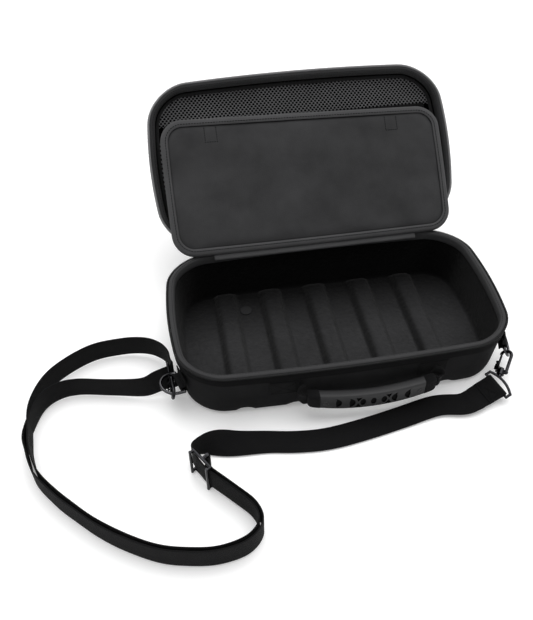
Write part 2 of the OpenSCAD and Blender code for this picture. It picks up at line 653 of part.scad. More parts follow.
// The single stretch that turns round the left eye's bar: [x, y, height, lean].
far_side = [[-310, -55, 0, 0], [-293, -20, 0, 0], [-256, 6, 0, 0], [-222, 11, 0.5, 0], [-197, 6, 2.5, 0],
    [-182, -5, 4.5, 0], [-174.5, -18, 6, 0], [-172.7, -30, 6.4, 0], [-170.7, -36.4, 6, 1],
    [-170.5, -43.9, 7.3, 22], [-176.4, -44.8, 7.1, 19], [-181, -46.1, 7.1, 16], [-188, -47, 5, 16],
    [-203, -49, 2, 6], [-235, -42, 0, 0], [-266, -36, 0, 0], [-287, -39, 0, 0], [-303, -54, 0, 0]];
strap_dir = unit(bar_out(1) + 0.13 * eye_square(1));
fold_len = 18;
run_end = eye_pos(1) + strap_dir * fold_len;
single_run = [[-160, -142, edge_z + slider_rise, 0], [-161, -133, edge_z + 1.5, 0], [-154, -126, edge_z, 4],
    [-141, -124, 11.4, 32], [-119, -124, 5.4, 72], [-90, -125, 1.9, 88], [-62, -129.5, 1.6, 90],
    [-33, -131, 1.6, 90], [0, -127, 1.6, 90], [40, -119.5, 1.8, 90], [80, -112, 3, 90],
    [106, -115.6, 4.9, 87]];
function slider_end(gap, t) = let (p = slider_pos + slider_dir * t, n = cross(slider_dir, up))
    [p.x + gap * n.x, p.y + gap * n.y, p.z, 0];
strap_path = concat(
    [for (t = [0, 6, 12]) let (p = run_end + t * strap_dir) [p.x, p.y, p.z, 80 + t / 2]], reversed(single_run),
    [slider_end(layer_gap, 0)], layer(loop_path, layer_gap), [for (p = far_side) [p.x, p.y, edge_z + p.z, p[3]]],
    reversed(layer(loop_path, -layer_gap)), [slider_end(-layer_gap, 6)]);
module strap_webbing() { color(webbing_color) ribbon(spline(strap_path, 4), web_w, web_t); }
// The sewn end that wraps the right-hand eye.
module strap_end_fold() {
    color(webbing_color) frame(eye_pos(1), strap_dir, bar_dir(1)) difference() {
        union() {
            rotate([90, 0, 0]) cylinder(r = eye_wire + 1.6, h = web_w, center = true);
            translate([0, -web_w / 2, -web_t]) cube([fold_len - 0.4, web_w, 2 * web_t]);
        }
        rotate([90, 0, 0]) cylinder(r = eye_wire + 0.08, h = 2 * web_w, center = true);
    }
}
// Three-bar slider standing on edge: two bars on one side of the strap, one on the other.
loop_r = bar_r + 0.06;
outer_stand = layer_gap + web_t / 2 + bar_r + 0.4;
centre_stand = -(layer_gap + web_t / 2 + loop_r + web_t + 0.3);
module strap_slider() {
    color(metal_color) frame(slider_pos, slider_dir, up) {
        for (y = [-1, 1]) translate([0, y * frame_h / 2, 0]) rotate([0, 90, 0])
            cylinder(r = bar_r, h = frame_l + 2 * bar_r, center = true);
        for (x = [-1, 0, 1]) {
            stand = x == 0 ? centre_stand : outer_stand;
            translate([x * frame_l / 2, 0, stand]) rotate([90, 0, 0])
                cylinder(r = bar_r, h = frame_h + 2 * bar_r, center = true);
            for (y = [-1, 1]) translate([x * frame_l / 2, y * frame_h / 2, min(stand, 0)])
                cylinder(r = bar_r, h = abs(stand));
        }
    }
}
// The sewn end of the webbing, looped round the slider's middle bar.
module strap_slider_loop() {
    color(webbing_color) frame(slider_pos, slider_dir, up) translate([0, 0, centre_stand])
        rotate([90, 0, 0]) difference() {
            cylinder(r = loop_r + web_t, h = web_w, center = true);
            cylinder(r = loop_r, h = 2 * web_w, center = true);
        }
}

base_shell();
base_lining();
base_binding();
base_zipper_tape();
base_zipper_coil();
cable_port_plug();
ring_tab_left();
ring_tab_right();
handle_patches();
hinge_spine();
zipper_slider_left();
zipper_slider_right();
zipper_pull_left();
zipper_pull_right();
lid_shell();
lid_lining();
lid_binding();
lid_zipper_tape();
lid_zipper_coil();
pocket_mesh_upper();
pocket_mesh_lower();
pocket_binding();
pocket_zipper_tape();
pocket_zipper_coil();
pocket_zipper_slider();
pocket_zipper_pull();
flap_hinge_strip();
flap_board();
flap_binding();
flap_tabs();
handle_grip();
handle_webbing();
handle_rivets();
d_ring_left();
d_ring_right();
strap_webbing();
strap_end_fold();
strap_slider();
strap_slider_loop();
hook_eye_left();
hook_body_left();
hook_gate_left();
hook_pin_left();
hook_spring_left();
hook_eye_right();
hook_body_right();
hook_gate_right();
hook_pin_right();
hook_spring_right();
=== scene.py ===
"""Looks for the zippered pedalboard case: finishes, soft shapes, stitching, floor and light."""
import json
import itertools
import math
import random
import bmesh
import bpy
from mathutils import Matrix, Vector, noise


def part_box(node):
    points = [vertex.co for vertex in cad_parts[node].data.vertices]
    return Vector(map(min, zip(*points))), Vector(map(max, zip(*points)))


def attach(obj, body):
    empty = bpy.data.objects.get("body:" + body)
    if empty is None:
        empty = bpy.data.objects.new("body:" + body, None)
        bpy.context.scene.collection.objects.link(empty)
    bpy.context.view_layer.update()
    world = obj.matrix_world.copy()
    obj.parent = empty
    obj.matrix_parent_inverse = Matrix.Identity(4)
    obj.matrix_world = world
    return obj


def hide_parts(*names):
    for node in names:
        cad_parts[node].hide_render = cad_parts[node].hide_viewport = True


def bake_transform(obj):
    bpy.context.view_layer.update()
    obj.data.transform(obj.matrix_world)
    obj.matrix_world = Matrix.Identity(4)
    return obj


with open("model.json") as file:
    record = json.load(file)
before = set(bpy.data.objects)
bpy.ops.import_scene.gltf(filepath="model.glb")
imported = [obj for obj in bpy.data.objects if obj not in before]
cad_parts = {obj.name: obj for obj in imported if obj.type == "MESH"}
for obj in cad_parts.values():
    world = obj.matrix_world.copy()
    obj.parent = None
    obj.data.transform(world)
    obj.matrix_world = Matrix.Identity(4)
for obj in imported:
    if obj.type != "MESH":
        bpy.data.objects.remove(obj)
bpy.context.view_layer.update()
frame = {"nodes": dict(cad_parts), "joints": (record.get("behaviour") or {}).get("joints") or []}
MM = 0.001
rng = random.Random(7)
joints = {j["name"]: j for j in frame["joints"]}


def joint_at(name):
    """(point in mm, unit axis) of a joint in the row frame."""
    j = joints[name]
    return Vector(j["pos_m"]) / MM, Vector(j["axis"]).normalized()


def box_mm(node):
    lo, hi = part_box(node)
    return Vector(lo) / MM, Vector(hi) / MM


# ---------------------------------------------------------------- frame sizes, in mm
tape_lo, tape_hi = box_mm("base_zipper_tape")
CASE_W = tape_hi.x - tape_lo.x
CASE_D = -2 * tape_lo.y
HINGE, _ = joint_at("lid_hinge")
OPEN = -math.radians(joints["lid_hinge"]["range_deg"][0])
SEAM = HINGE.z
CORNER_R, END_BOW, SIDE_BOW = 42, 9.5, 5.5
SPINE_HALF = 116


# ---------------------------------------------------------------- finishes
def new_mat(name, color, rough=0.8, metallic=0.0, sheen=0.0, spec=0.5):
    mat = bpy.data.materials.new(name)
    mat.use_nodes = True
    nt = mat.node_tree
    bsdf = nt.nodes["Principled BSDF"]
    bsdf.inputs["Base Color"].default_value = (*color, 1)
    bsdf.inputs["Roughness"].default_value = rough
    bsdf.inputs["Metallic"].default_value = metallic
    bsdf.inputs["Sheen Weight"].default_value = sheen
    bsdf.inputs["Sheen Roughness"].default_value = 0.45
    bsdf.inputs["Specular IOR Level"].default_value = spec
    return mat, nt, bsdf


def math_node(nt, op, a, b=None):
    n = nt.nodes.new("ShaderNodeMath")
    n.operation = op
    for i, v in enumerate((a, b)):
        if v is None:
            continue
        if isinstance(v, (int, float)):
            n.inputs[i].default_value = v
        else:
            nt.links.new(v, n.inputs[i])
    return n.outputs[0]


def noise_node(nt, coord, scale, detail=3.0, rough=0.55):
    n = nt.nodes.new("ShaderNodeTexNoise")
    n.inputs["Scale"].default_value = scale
    n.inputs["Detail"].default_value = detail
    n.inputs["Roughness"].default_value = rough
    nt.links.new(coord, n.inputs["Vector"])
    return n.outputs["Fac"]


def vary_color(nt, bsdf, color, fac, spread):
    """Base colour between (1 - spread) and (1 + spread) of color, following fac."""
    ramp = nt.nodes.new("ShaderNodeMix")
    ramp.data_type = "RGBA"
    ramp.inputs["A"].default_value = (*[c * max(0.02, 1 - spread) for c in color], 1)
    ramp.inputs["B"].default_value = (*[c * (1 + spread) for c in color], 1)
    nt.links.new(fac, ramp.inputs["Factor"])
    nt.links.new(ramp.outputs["Result"], bsdf.inputs["Base Color"])
    return ramp.outputs["Result"]


def bump(nt, bsdf, height, distance, strength=1.0):
    b = nt.nodes.new("ShaderNodeBump")
    b.inputs["Distance"].default_value = distance
    b.inputs["Strength"].default_value = strength
    nt.links.new(height, b.inputs["Height"])
    nt.links.new(b.outputs["Normal"], bsdf.inputs["Normal"])


def woven(name, color, pitch_u, pitch_v, depth, rough=0.85, sheen=0.03, spread=0.25, twill=False, spec=0.12):
    """Cloth whose yarns follow the UV map, which is laid out in metres along and across the piece."""
    mat, nt, bsdf = new_mat(name, color, rough, 0.0, sheen, spec)
    tc = nt.nodes.new("ShaderNodeTexCoord")
    sep = nt.nodes.new("ShaderNodeSeparateXYZ")
    nt.links.new(tc.outputs["UV"], sep.inputs[0])
    u = math_node(nt, "MULTIPLY", sep.outputs["X"], 2 * math.pi / pitch_u)
    v = math_node(nt, "MULTIPLY", sep.outputs["Y"], 2 * math.pi / pitch_v)
    if twill:
        u = math_node(nt, "ADD", u, math_node(nt, "MULTIPLY", v, 0.5))
    weft = math_node(nt, "SINE", u)
    warp = math_node(nt, "SINE", v)
    weave = math_node(nt, "MULTIPLY", weft, warp)
    fine = noise_node(nt, tc.outputs["Object"], 900, 2)
    height = math_node(nt, "ADD", weave, math_node(nt, "MULTIPLY", fine, 0.9))
    bump(nt, bsdf, height, depth)
    broad = noise_node(nt, tc.outputs["Object"], 26, 4)
    shade = math_node(nt, "ADD", math_node(nt, "MULTIPLY", weave, 0.22), broad)
    vary_color(nt, bsdf, color, shade, spread)
    return mat


def painted_facing_shade(nt, axis, low, high, dark):
    """Painted shade: a factor that falls to `dark` where the face looks along an axis."""
    geo = nt.nodes.new("ShaderNodeNewGeometry")
    sep = nt.nodes.new("ShaderNodeSeparateXYZ")
    nt.links.new(geo.outputs["Normal"], sep.inputs[0])
    ramp = nt.nodes.new("ShaderNodeMapRange")
    for key, value in (("From Min", low), ("From Max", high), ("To Min", 1.0), ("To Max", dark)):
        ramp.inputs[key].default_value = value
    nt.links.new(sep.outputs[axis], ramp.inputs["Value"])
    return ramp.outputs["Result"]


def napped(name, color, sheen=0.05, spread=0.3, depth=0.0005, painted_shade=False):
    """Short-pile velour: a fuzzy nap with brushed patches."""
    mat, nt, bsdf = new_mat(name, color, 0.95, 0.0, sheen, 0.04)
    tc = nt.nodes.new("ShaderNodeTexCoord")
    pile = noise_node(nt, tc.outputs["Object"], 1100, 2, 0.7)
    clump = noise_node(nt, tc.outputs["Object"], 210, 3, 0.6)
    brushed = noise_node(nt, tc.outputs["Object"], 24, 5, 0.6)
    height = math_node(nt, "ADD", pile, math_node(nt, "MULTIPLY", clump, 1.4))
    bump(nt, bsdf, height, depth)
    shade = math_node(nt, "ADD", math_node(nt, "MULTIPLY", clump, 0.5), math_node(nt, "MULTIPLY", brushed, 0.5))
    if painted_shade:
        # painted shade: faces turned sideways (the ridges' flanks, the end walls) or toward the front (the inner back
        # wall) are darkened as if in shade
        shade = math_node(nt, "MULTIPLY", math_node(nt, "ADD", shade, 0.35), 0.75)
        for axis, low, high, dark in (("X", -0.12, -0.75, 0.36), ("X", 0.3, 0.95, 0.5), ("Y", -0.25, -0.9, 0.2)):
            shade = math_node(nt, "MULTIPLY", shade, painted_facing_shade(nt, axis, low, high, dark))
        sep = nt.nodes.new("ShaderNodeSeparateXYZ")
        nt.links.new(tc.outputs["Object"], sep.inputs[0])
        painted_back_shade = nt.nodes.new("ShaderNodeMapRange")       # painted shade: darker toward the back, on the hinge side, where the lid and flap shade the tray
        for key, value in (("From Min", 0.0), ("From Max", 0.07), ("To Min", 1.0), ("To Max", 0.12)):
            painted_back_shade.inputs[key].default_value = value
        nt.links.new(sep.outputs["Y"], painted_back_shade.inputs["Value"])
        shade = math_node(nt, "MULTIPLY", shade, painted_back_shade.outputs["Result"])
    vary_color(nt, bsdf, color, shade, spread)
    return mat


def moulded(name, color, rough=0.5, spec=0.4, grain=700, depth=0.00012, spread=0.12):
    mat, nt, bsdf = new_mat(name, color, rough, 0.0, 0.0, spec)
    tc = nt.nodes.new("ShaderNodeTexCoord")
    fine = noise_node(nt, tc.outputs["Object"], grain, 3)
    broad = noise_node(nt, tc.outputs["Object"], 40, 3)
    bump(nt, bsdf, fine, depth)
    vary_color(nt, bsdf, color, broad, spread)
    r = math_node(nt, "ADD", math_node(nt, "MULTIPLY", broad, 0.2), rough - 0.1)
    nt.links.new(r, bsdf.inputs["Roughness"])
    return mat


def metal(name, color, rough=0.28):
    """Black-nickel plating with fine handling marks."""
    mat, nt, bsdf = new_mat(name, color, rough, 1.0, 0.0, 0.5)
    tc = nt.nodes.new("ShaderNodeTexCoord")
    marks = noise_node(nt, tc.outputs["Object"], 650, 4, 0.65)
    broad = noise_node(nt, tc.outputs["Object"], 90, 2)
    r = math_node(nt, "ADD", math_node(nt, "MULTIPLY", marks, 0.28), rough - 0.12)
    nt.links.new(r, bsdf.inputs["Roughness"])
    bump(nt, bsdf, marks, 0.00004)
    vary_color(nt, bsdf, color, broad, 0.2)
    return mat


SHELL = woven("shell_fabric", (0.0135, 0.0135, 0.0142), 0.0013, 0.0013, 0.0003, 0.8, 0.01, 0.9, spec=0.05)
# painted highlight: a light band round the lid's lip standing in for the rim light on its edge
RIM_HIGHLIGHT = woven("lid_rim_painted_highlight", (0.2, 0.2, 0.204), 0.0013, 0.0009, 0.00012, 0.85, 0.06, 0.18, twill=True)
TAPE = woven("zipper_tape", (0.0045, 0.0045, 0.0048), 0.0012, 0.0008, 0.00012, 0.85, 0.01, 0.2, twill=True, spec=0.06)
# the velour carries painted shade: darker on sideways and front-facing faces and toward the back of the tray
VELOUR = napped("velour", (0.0172, 0.0172, 0.0178), spread=1.4, depth=0.0011, painted_shade=True)
LID_LINING = napped("lid_lining", (0.0028, 0.0028, 0.003), 0.01)
FLAP_CLOTH = woven("flap_cloth", (0.0385, 0.0385, 0.0398), 0.0009, 0.0009, 0.00016, 0.9, 0.04, 0.45, spec=0.08)
TRIM = woven("trim_tape", (0.044, 0.044, 0.0453), 0.0013, 0.0009, 0.00014, 0.88, 0.04, 0.18, twill=True)
FLAP_TRIM = woven("flap_trim", (0.07, 0.07, 0.072), 0.0013, 0.0009, 0.00014, 0.88, 0.04, 0.16, twill=True)
NET = woven("mesh_yarn", (0.115, 0.115, 0.118), 0.0006, 0.0006, 0.0001, 0.8, 0.04, 0.3)
WEBBING = woven("webbing", (0.0062, 0.0062, 0.0066), 0.0016, 0.0011, 0.00022, 0.8, 0.02, 0.25, twill=True, spec=0.07)
TEETH = moulded("zipper_teeth", (0.005, 0.005, 0.0053), 0.42, 0.2)
RUBBER = moulded("moulded_rubber", (0.02, 0.02, 0.021), 0.5, 0.25, 500, 0.00016)
LID_TRIM = woven("lid_trim", (0.028, 0.028, 0.029), 0.0013, 0.0009, 0.00014, 0.88, 0.04, 0.18, twill=True)
BAND = woven("pocket_band", (0.016, 0.016, 0.0165), 0.0013, 0.0009, 0.00014, 0.88, 0.03, 0.18, twill=True)
# painted shade: the grip's cut-outs get a far darker copy of the moulded rubber
RECESS_SHADE = moulded("grip_recess_painted_shade", (0.0025, 0.0025, 0.0026), 0.6, 0.05)
PLUG = moulded("port_rubber", (0.011, 0.011, 0.0115), 0.6, 0.1)
METAL = metal("black_metal", (0.022, 0.022, 0.024), 0.2)
STEEL = metal("worn_metal", (0.05, 0.05, 0.053), 0.22)
DARK_THREAD = moulded("dark_thread", (0.003, 0.003, 0.003), 0.7, 0.05, 1500, 0.00005)


# ---------------------------------------------------------------- mesh building, in mm
def link(name, mesh, mat, body=None, stands_for=()):
    obj = bpy.data.objects.new(name, mesh)
    bpy.context.scene.collection.objects.link(obj)
    mesh.materials.append(mat)
    if body:
        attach(obj, body)
    if stands_for:
        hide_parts(*stands_for)
    return obj


def close_up(mesh):
    bm = bmesh.new()
    bm.from_mesh(mesh)
    bmesh.ops.recalc_face_normals(bm, faces=bm.faces)
    bm.to_mesh(mesh)
    bm.free()


def grid_mesh(name, rows, wrap_u=False, wrap_v=False, caps=False, smooth=True):
    """Quads between rows of points; the UV map holds metres along each way."""
    nu, nv = len(rows[0]), len(rows)
    verts = [tuple(c * MM for c in p) for row in rows for p in row]
    mid = rows[nv // 2]
    us = [0.0]
    for i in range(nu):
        us.append(us[-1] + (Vector(mid[(i + 1) % nu]) - Vector(mid[i])).length * MM)
    col = [row[nu // 4] for row in rows]
    vs = [0.0]
    for j in range(nv):
        vs.append(vs[-1] + (Vector(col[(j + 1) % nv]) - Vector(col[j])).length * MM)
    faces, uvs = [], []
    for j in range(nv if wrap_v else nv - 1):
        for i in range(nu if wrap_u else nu - 1):
            k, m = (i + 1) % nu, (j + 1) % nv
            faces.append((j * nu + i, j * nu + k, m * nu + k, m * nu + i))
            uvs += [(us[i], vs[j]), (us[i + 1], vs[j]), (us[i + 1], vs[j + 1]), (us[i], vs[j + 1])]
    if caps and wrap_u:
        faces += [tuple(range(nu))[::-1], tuple(range((nv - 1) * nu, nv * nu))]
        uvs += [(0, 0)] * (2 * nu)
    if caps and wrap_v:
        faces += [tuple(j * nu for j in range(nv)), tuple(j * nu + nu - 1 for j in range(nv))[::-1]]
        uvs += [(0, 0)] * (2 * nv)
    mesh = bpy.data.meshes.new(name)
    mesh.from_pydata(verts, [], faces)
    layer = mesh.uv_layers.new(name="UVMap")
    layer.data.foreach_set("uv", [c for uv in uvs for c in uv])
    mesh.polygons.foreach_set("use_smooth", [smooth] * len(mesh.polygons))
    mesh.update()
    close_up(mesh)
    return mesh


def smooth_curve(points, steps):
    """Catmull-Rom curve through the points."""
    p = [Vector(q) for q in points]
    out = []
    for i in range(len(p) - 1):
        a, b, c, d = p[max(i - 1, 0)], p[i], p[i + 1], p[min(i + 2, len(p) - 1)]
        for j in range(steps):
            t = j / steps
            out.append(0.5 * (2 * b + (c - a) * t + (2 * a - 5 * b + 4 * c - d) * t * t
                              + (3 * b - a - 3 * c + d) * t ** 3))
    out.append(p[-1])
    return out


def bowed(x, y):
    return (x * (1 - 2 * END_BOW / CASE_W * (2 * y / CASE_D) ** 2),
            y * (1 - 2 * SIDE_BOW / CASE_D * (2 * x / CASE_W) ** 2))


def outline(inset, corner=12, side=24):
    """The case's bowed outline shrunk by inset, counter-clockwise from the right end of the back corner."""
    r = max(CORNER_R - inset, 8)

    def arc(k, a):
        a = math.radians(a)
        return Vector(((1 if k in (0, 3) else -1) * (CASE_W / 2 - inset - r) + r * math.cos(a),
                       (1 if k < 2 else -1) * (CASE_D / 2 - inset - r) + r * math.sin(a)))
    points = []
    for k in range(4):
        points += [arc(k, 90 * (k + i / corner)) for i in range(corner + 1)]
        a, b = arc(k, 90 * (k + 1)), arc((k + 1) % 4, 90 * (k + 1))
        points += [a.lerp(b, i / side) for i in range(1, side)]
    return [bowed(p.x, p.y) for p in points]


def zip_outline(inset, corner=12, side=24):
    """The same outline without the stretch along the spine: an open run round the zipper."""
    pts = outline(inset, corner, side)
    n = len(pts)
    on_spine = [abs(x) < SPINE_HALF and y > 0 for x, y in pts]
    start = next(i for i in range(n) if on_spine[i - 1] and not on_spine[i])
    run = [pts[(start + i) % n] for i in range(n) if not on_spine[(start + i) % n]]
    y_end = pts[start][1]
    return [(-SPINE_HALF, y_end)] + run + [(SPINE_HALF, y_end)]


def tray_space(x, y, z):
    return Vector((x, y, z))


def lid_space(x, y, z):
    """Where the open lid carries a point drawn in the tray's mirror image."""
    dy, dz = y - HINGE.y, SEAM - z
    c, s = math.cos(-OPEN), math.sin(-OPEN)
    return Vector((x, HINGE.y + dy * c - dz * s, HINGE.z + dy * s + dz * c))


def ripple(p, size, amount):
    return noise.noise(Vector(p) / size) * amount


def shell_mesh(name, profile, place, corner=12, side=24, steps=3, wave=0.0, bottom=None):
    """Skin through [inset, z] points of a profile, swept round the case outline."""
    prof = smooth_curve([(a, b, 0) for a, b in profile], steps)
    rows = []
    for q in prof:
        inset, z = q.x, q.y
        row = []
        for x, y in outline(inset, corner, side):
            w = ripple((x, y, z), 38, wave)
            k = 1 - w / 150
            zz = z if bottom is None else bottom(x, y, z)
            row.append(place(x * k, y * k, zz))
        rows.append(row)
    if inset > CASE_D / 2 - 10:            # close the middle of the panel down to a line
        end = CASE_W / 2 - CASE_D / 2
        for f in (0.66, 0.33, 0.02):
            row = []
            for x, y in outline(inset, corner, side):
                mid = max(-end, min(end, x))
                x, y = mid + (x - mid) * f, y * f
                k = 1 - ripple((x, y, z), 38, wave) / 150
                row.append(place(x * k, y * k, z if bottom is None else bottom(x, y, z)))
            rows.append(row)
    return grid_mesh(name, rows, wrap_u=True)


def band_mesh(name, profile, place, around=outline, wrap_u=True, corner=12, side=24):
    """Closed cross-section of [inset, z] points swept round the outline."""
    rows = []
    for inset, z in profile:
        rows.append([place(x, y, z) for x, y in around(inset, corner, side)])
    return grid_mesh(name, rows, wrap_u=wrap_u, wrap_v=True, caps=not wrap_u)


def capsule(verts, faces, a, b, side, r, flat=1.0, sides=6):
    """Adds a short rounded thread or tooth from a to b."""
    axis = (b - a).normalized()
    across = (side - axis * side.dot(axis)).normalized()
    out = axis.cross(across)
    base = len(verts)
    length = (b - a).length
    for t, k in ((0, 0.45), (0.12, 0.9), (0.5, 1.0), (0.88, 0.9), (1, 0.45)):
        c = a + axis * (length * t)
        for i in range(sides):
            th = 2 * math.pi * i / sides
            verts.append(c + across * (r * k * math.cos(th)) + out * (r * k * flat * math.sin(th)))
    for j in range(4):
        for i in range(sides):
            m = (i + 1) % sides
            faces.append((base + j * sides + i, base + j * sides + m,
                          base + (j + 1) * sides + m, base + (j + 1) * sides + i))
    faces.append(tuple(base + i for i in range(sides))[::-1])
    faces.append(tuple(base + 4 * sides + i for i in range(sides)))


def bits_mesh(name, verts, faces):
    mesh = bpy.data.meshes.new(name)
    mesh.from_pydata([tuple(v * MM) for v in verts], [], faces)
    mesh.polygons.foreach_set("use_smooth", [True] * len(mesh.polygons))
    mesh.update()
    return mesh


def walk(points, pitch, closed=False):
    """(point, direction) every pitch along a run of points."""
    pts = [Vector(p) for p in points]
    if closed:
        pts.append(pts[0])
    out, carry = [], pitch / 2
    for a, b in zip(pts, pts[1:]):
        length = (b - a).length
        if length < 1e-6:
            continue
        d = (b - a) / length
        while carry < length:
            out.append((a + d * carry, d))
            carry += pitch
        carry -= length
    return out


def stitches(name, runs, up, mat, body, pitch=3.0, length=2.1, r=0.24, closed=False):
    """One mesh of separate stitches along each run; up says which way is out of the cloth."""
    verts, faces = [], []
    for run in runs:
        for p, d in walk(run, pitch, closed):
            n = up(p) if callable(up) else up
            capsule(verts, faces, p - d * length / 2, p + d * length / 2, n, r * rng.uniform(0.9, 1.1))
    return link(name, bits_mesh(name, verts, faces), mat, body)


def tube_mesh(name, points, r, sides=12, closed=False, caps=True):
    pts = [Vector(p) for p in points]
    n = len(pts)
    rows, last = [], None
    for i, p in enumerate(pts):
        a = pts[(i - 1) % n] if closed or i > 0 else p
        b = pts[(i + 1) % n] if closed or i < n - 1 else p
        d = (b - a).normalized()
        ref = last if last is not None else (Vector((0, 0, 1)) if abs(d.z) < 0.9 else Vector((1, 0, 0)))
        s = (ref - d * ref.dot(d)).normalized()
        last = s
        t = d.cross(s)
        rows.append([p + s * (r * math.cos(2 * math.pi * k / sides)) + t * (r * math.sin(2 * math.pi * k / sides))
                     for k in range(sides)])
    return grid_mesh(name, rows, wrap_u=True, wrap_v=closed, caps=caps and not closed)


def strip_section(width, thick, soft=5):
    """Rounded cross-section of a flat woven strip: (across, out) pairs."""
    r = thick / 2
    pts = []
    for s in (1, -1):
        for i in range(soft + 1):
            a = math.radians(-90 + 180 * i / soft)
            pts.append((s * (width / 2 - r + r * math.cos(a)), s * r * math.sin(a)))
        lanes = 4
        for i in range(1, lanes):
            pts.append((s * (width / 2 - r) * (1 - 2 * i / lanes), s * r))
    return pts


def strip_mesh(name, centre, across, width, thick, wobble=0.0):
    """A woven strip along centre points, with the direction across it given at each."""
    section = strip_section(width, thick)
    n = len(centre)
    rows = []
    for i in range(n):
        d = (centre[min(i + 1, n - 1)] - centre[max(i - 1, 0)]).normalized()
        c = (across[i] - d * across[i].dot(d)).normalized()
        out = d.cross(c)
        o = centre[i] + out * ripple(centre[i], 31, wobble)
        rows.append([o + c * a + out * b for a, b in section])
    mesh = grid_mesh(name, rows, wrap_u=True, caps=True)
    # lay the weave along the strip: u along it, v across it
    layer = mesh.uv_layers[0].data
    for d in layer:
        d.uv = (d.uv[1], d.uv[0])
    return mesh


def remake(node, mat, body, bevel=0.25, name=None, angle=38):
    """A visual copy of a CAD node with its edges eased."""
    src = frame["nodes"][node]
    bm = bmesh.new()
    bm.from_mesh(src.data)
    bmesh.ops.remove_doubles(bm, verts=bm.verts, dist=1e-6)
    bmesh.ops.dissolve_limit(bm, angle_limit=math.radians(0.5), verts=bm.verts, edges=bm.edges)
    mesh = bpy.data.meshes.new(name or node + "_look")
    bm.to_mesh(mesh)
    bm.free()
    mesh.polygons.foreach_set("use_smooth", [True] * len(mesh.polygons))
    mesh.set_sharp_from_angle(angle=math.radians(angle))
    obj = link(name or node + "_look", mesh, mat, body, (node,))
    if bevel:
        m = obj.modifiers.new("ease", "BEVEL")
        m.width = bevel * MM
        m.segments = 2
        m.limit_method = "ANGLE"
        m.angle_limit = math.radians(42)
        m.harden_normals = False
    return obj


# ---------------------------------------------------------------- tray
RIDGE_PITCH, RIDGE_SHIFT, RIDGE_HALF, RIDGE_TOP = 51, -3, 12.2, 7.3
FLOOR_Z = 5.25
RIDGE_BACK, RIDGE_FRONT = 77, -80


def ridge_near(x):
    k = max(-2, min(2, round((x - RIDGE_SHIFT) / RIDGE_PITCH)))
    return x - (k * RIDGE_PITCH + RIDGE_SHIFT)


def ridge_shape(dx):
    t = abs(dx) / RIDGE_HALF
    return (1 - t ** 4) ** 0.55 if t < 1 else 0.0


def floor_height(x, y):
    dx = ridge_near(x)
    h = sum(ridge_shape(dx + o) for o in (-1.6, -0.8, 0, 0.8, 1.6)) / 5
    back = max(0.0, min(1.0, (RIDGE_BACK - y) / 9))
    front = max(0.0, min(1.0, (y - RIDGE_FRONT) / 9))
    end = math.sqrt(1 - (1 - back) ** 2) * math.sqrt(1 - (1 - front) ** 2)
    nap = ripple((x, y, 0), 17, 0.35)
    return FLOOR_Z + RIDGE_TOP * h * end + nap * (0.4 + 0.6 * h)


def groove(x, y, z):
    """Lifts the underside where the channels under the ridges run through."""
    dx = ridge_near(x) / 8
    if abs(dx) >= 1 or z > 11:
        return z
    return z + 4.5 * math.sqrt(1 - dx * dx) * (1 - z / 11)


tray_shell = shell_mesh(
    "tray_outer_shell",
    [(1.9, 57.6), (1.3, 55), (1.3, 48), (2.5, 38), (4, 24), (5.1, 13), (6.3, 6.2), (8.2, 2.3), (11.5, 0.5),
     (17, 0.05), (30, 0), (50, 0), (70, 0), (85.9, 0)],
    tray_space, side=64, wave=0.5, bottom=groove)
tray_shell = link("tray_outer_shell", tray_shell, SHELL, "case_base", ("base_shell",))


def inside(x, y, poly):
    hit = False
    for (x0, y0), (x1, y1) in zip(poly, poly[1:] + poly[:1]):
        if (y0 > y) != (y1 > y) and x < (x1 - x0) * (y - y0) / (y1 - y0) + x0:
            hit = not hit
    return hit


def tray_floor():
    fence = outline(12.6)
    step_x, step_y = 1.6, 2.4
    nx, ny = int(316 / step_x), int(168 / step_y)
    verts, index, faces = [], {}, []
    for j in range(ny + 1):
        for i in range(nx + 1):
            x, y = -158 + i * step_x, -84 + j * step_y
            if inside(x, y, fence):
                index[i, j] = len(verts)
                verts.append((x * MM, y * MM, floor_height(x, y) * MM))
    for j in range(ny):
        for i in range(nx):
            q = [(i, j), (i + 1, j), (i + 1, j + 1), (i, j + 1)]
            if all(k in index for k in q):
                faces.append([index[k] for k in q])
    mesh = bpy.data.meshes.new("tray_floor_velour")
    mesh.from_pydata(verts, [], faces)
    mesh.polygons.foreach_set("use_smooth", [True] * len(faces))
    mesh.update()
    return mesh


link("tray_floor_velour", tray_floor(), VELOUR, "case_base", ("base_lining",))
wall_profile = [(18.5, 4.9), (15.6, 5.7), (13.4, 7.6), (12.3, 10.5), (11.2, 16), (9.8, 23), (8.8, 31), (7.7, 42),
                (7.0, 50), (6.6, 57.4)]
link("tray_wall_velour", shell_mesh("tray_wall_velour", wall_profile, tray_space, side=40, wave=0.8),
     VELOUR, "case_base", ())

binding_profile = [(1.55, 56.8), (1.5, 58.6), (2.1, 59.45), (3.6, 59.85), (5.2, 59.8), (6.5, 59.35), (7.25, 58.3),
                   (7.5, 56.6), (7.7, 53.6), (7.75, 51.2), (7.3, 50.6), (6.7, 50.9), (6.5, 53.0), (6.45, 56.5),
                   (5.5, 57.8), (3.4, 57.9)]


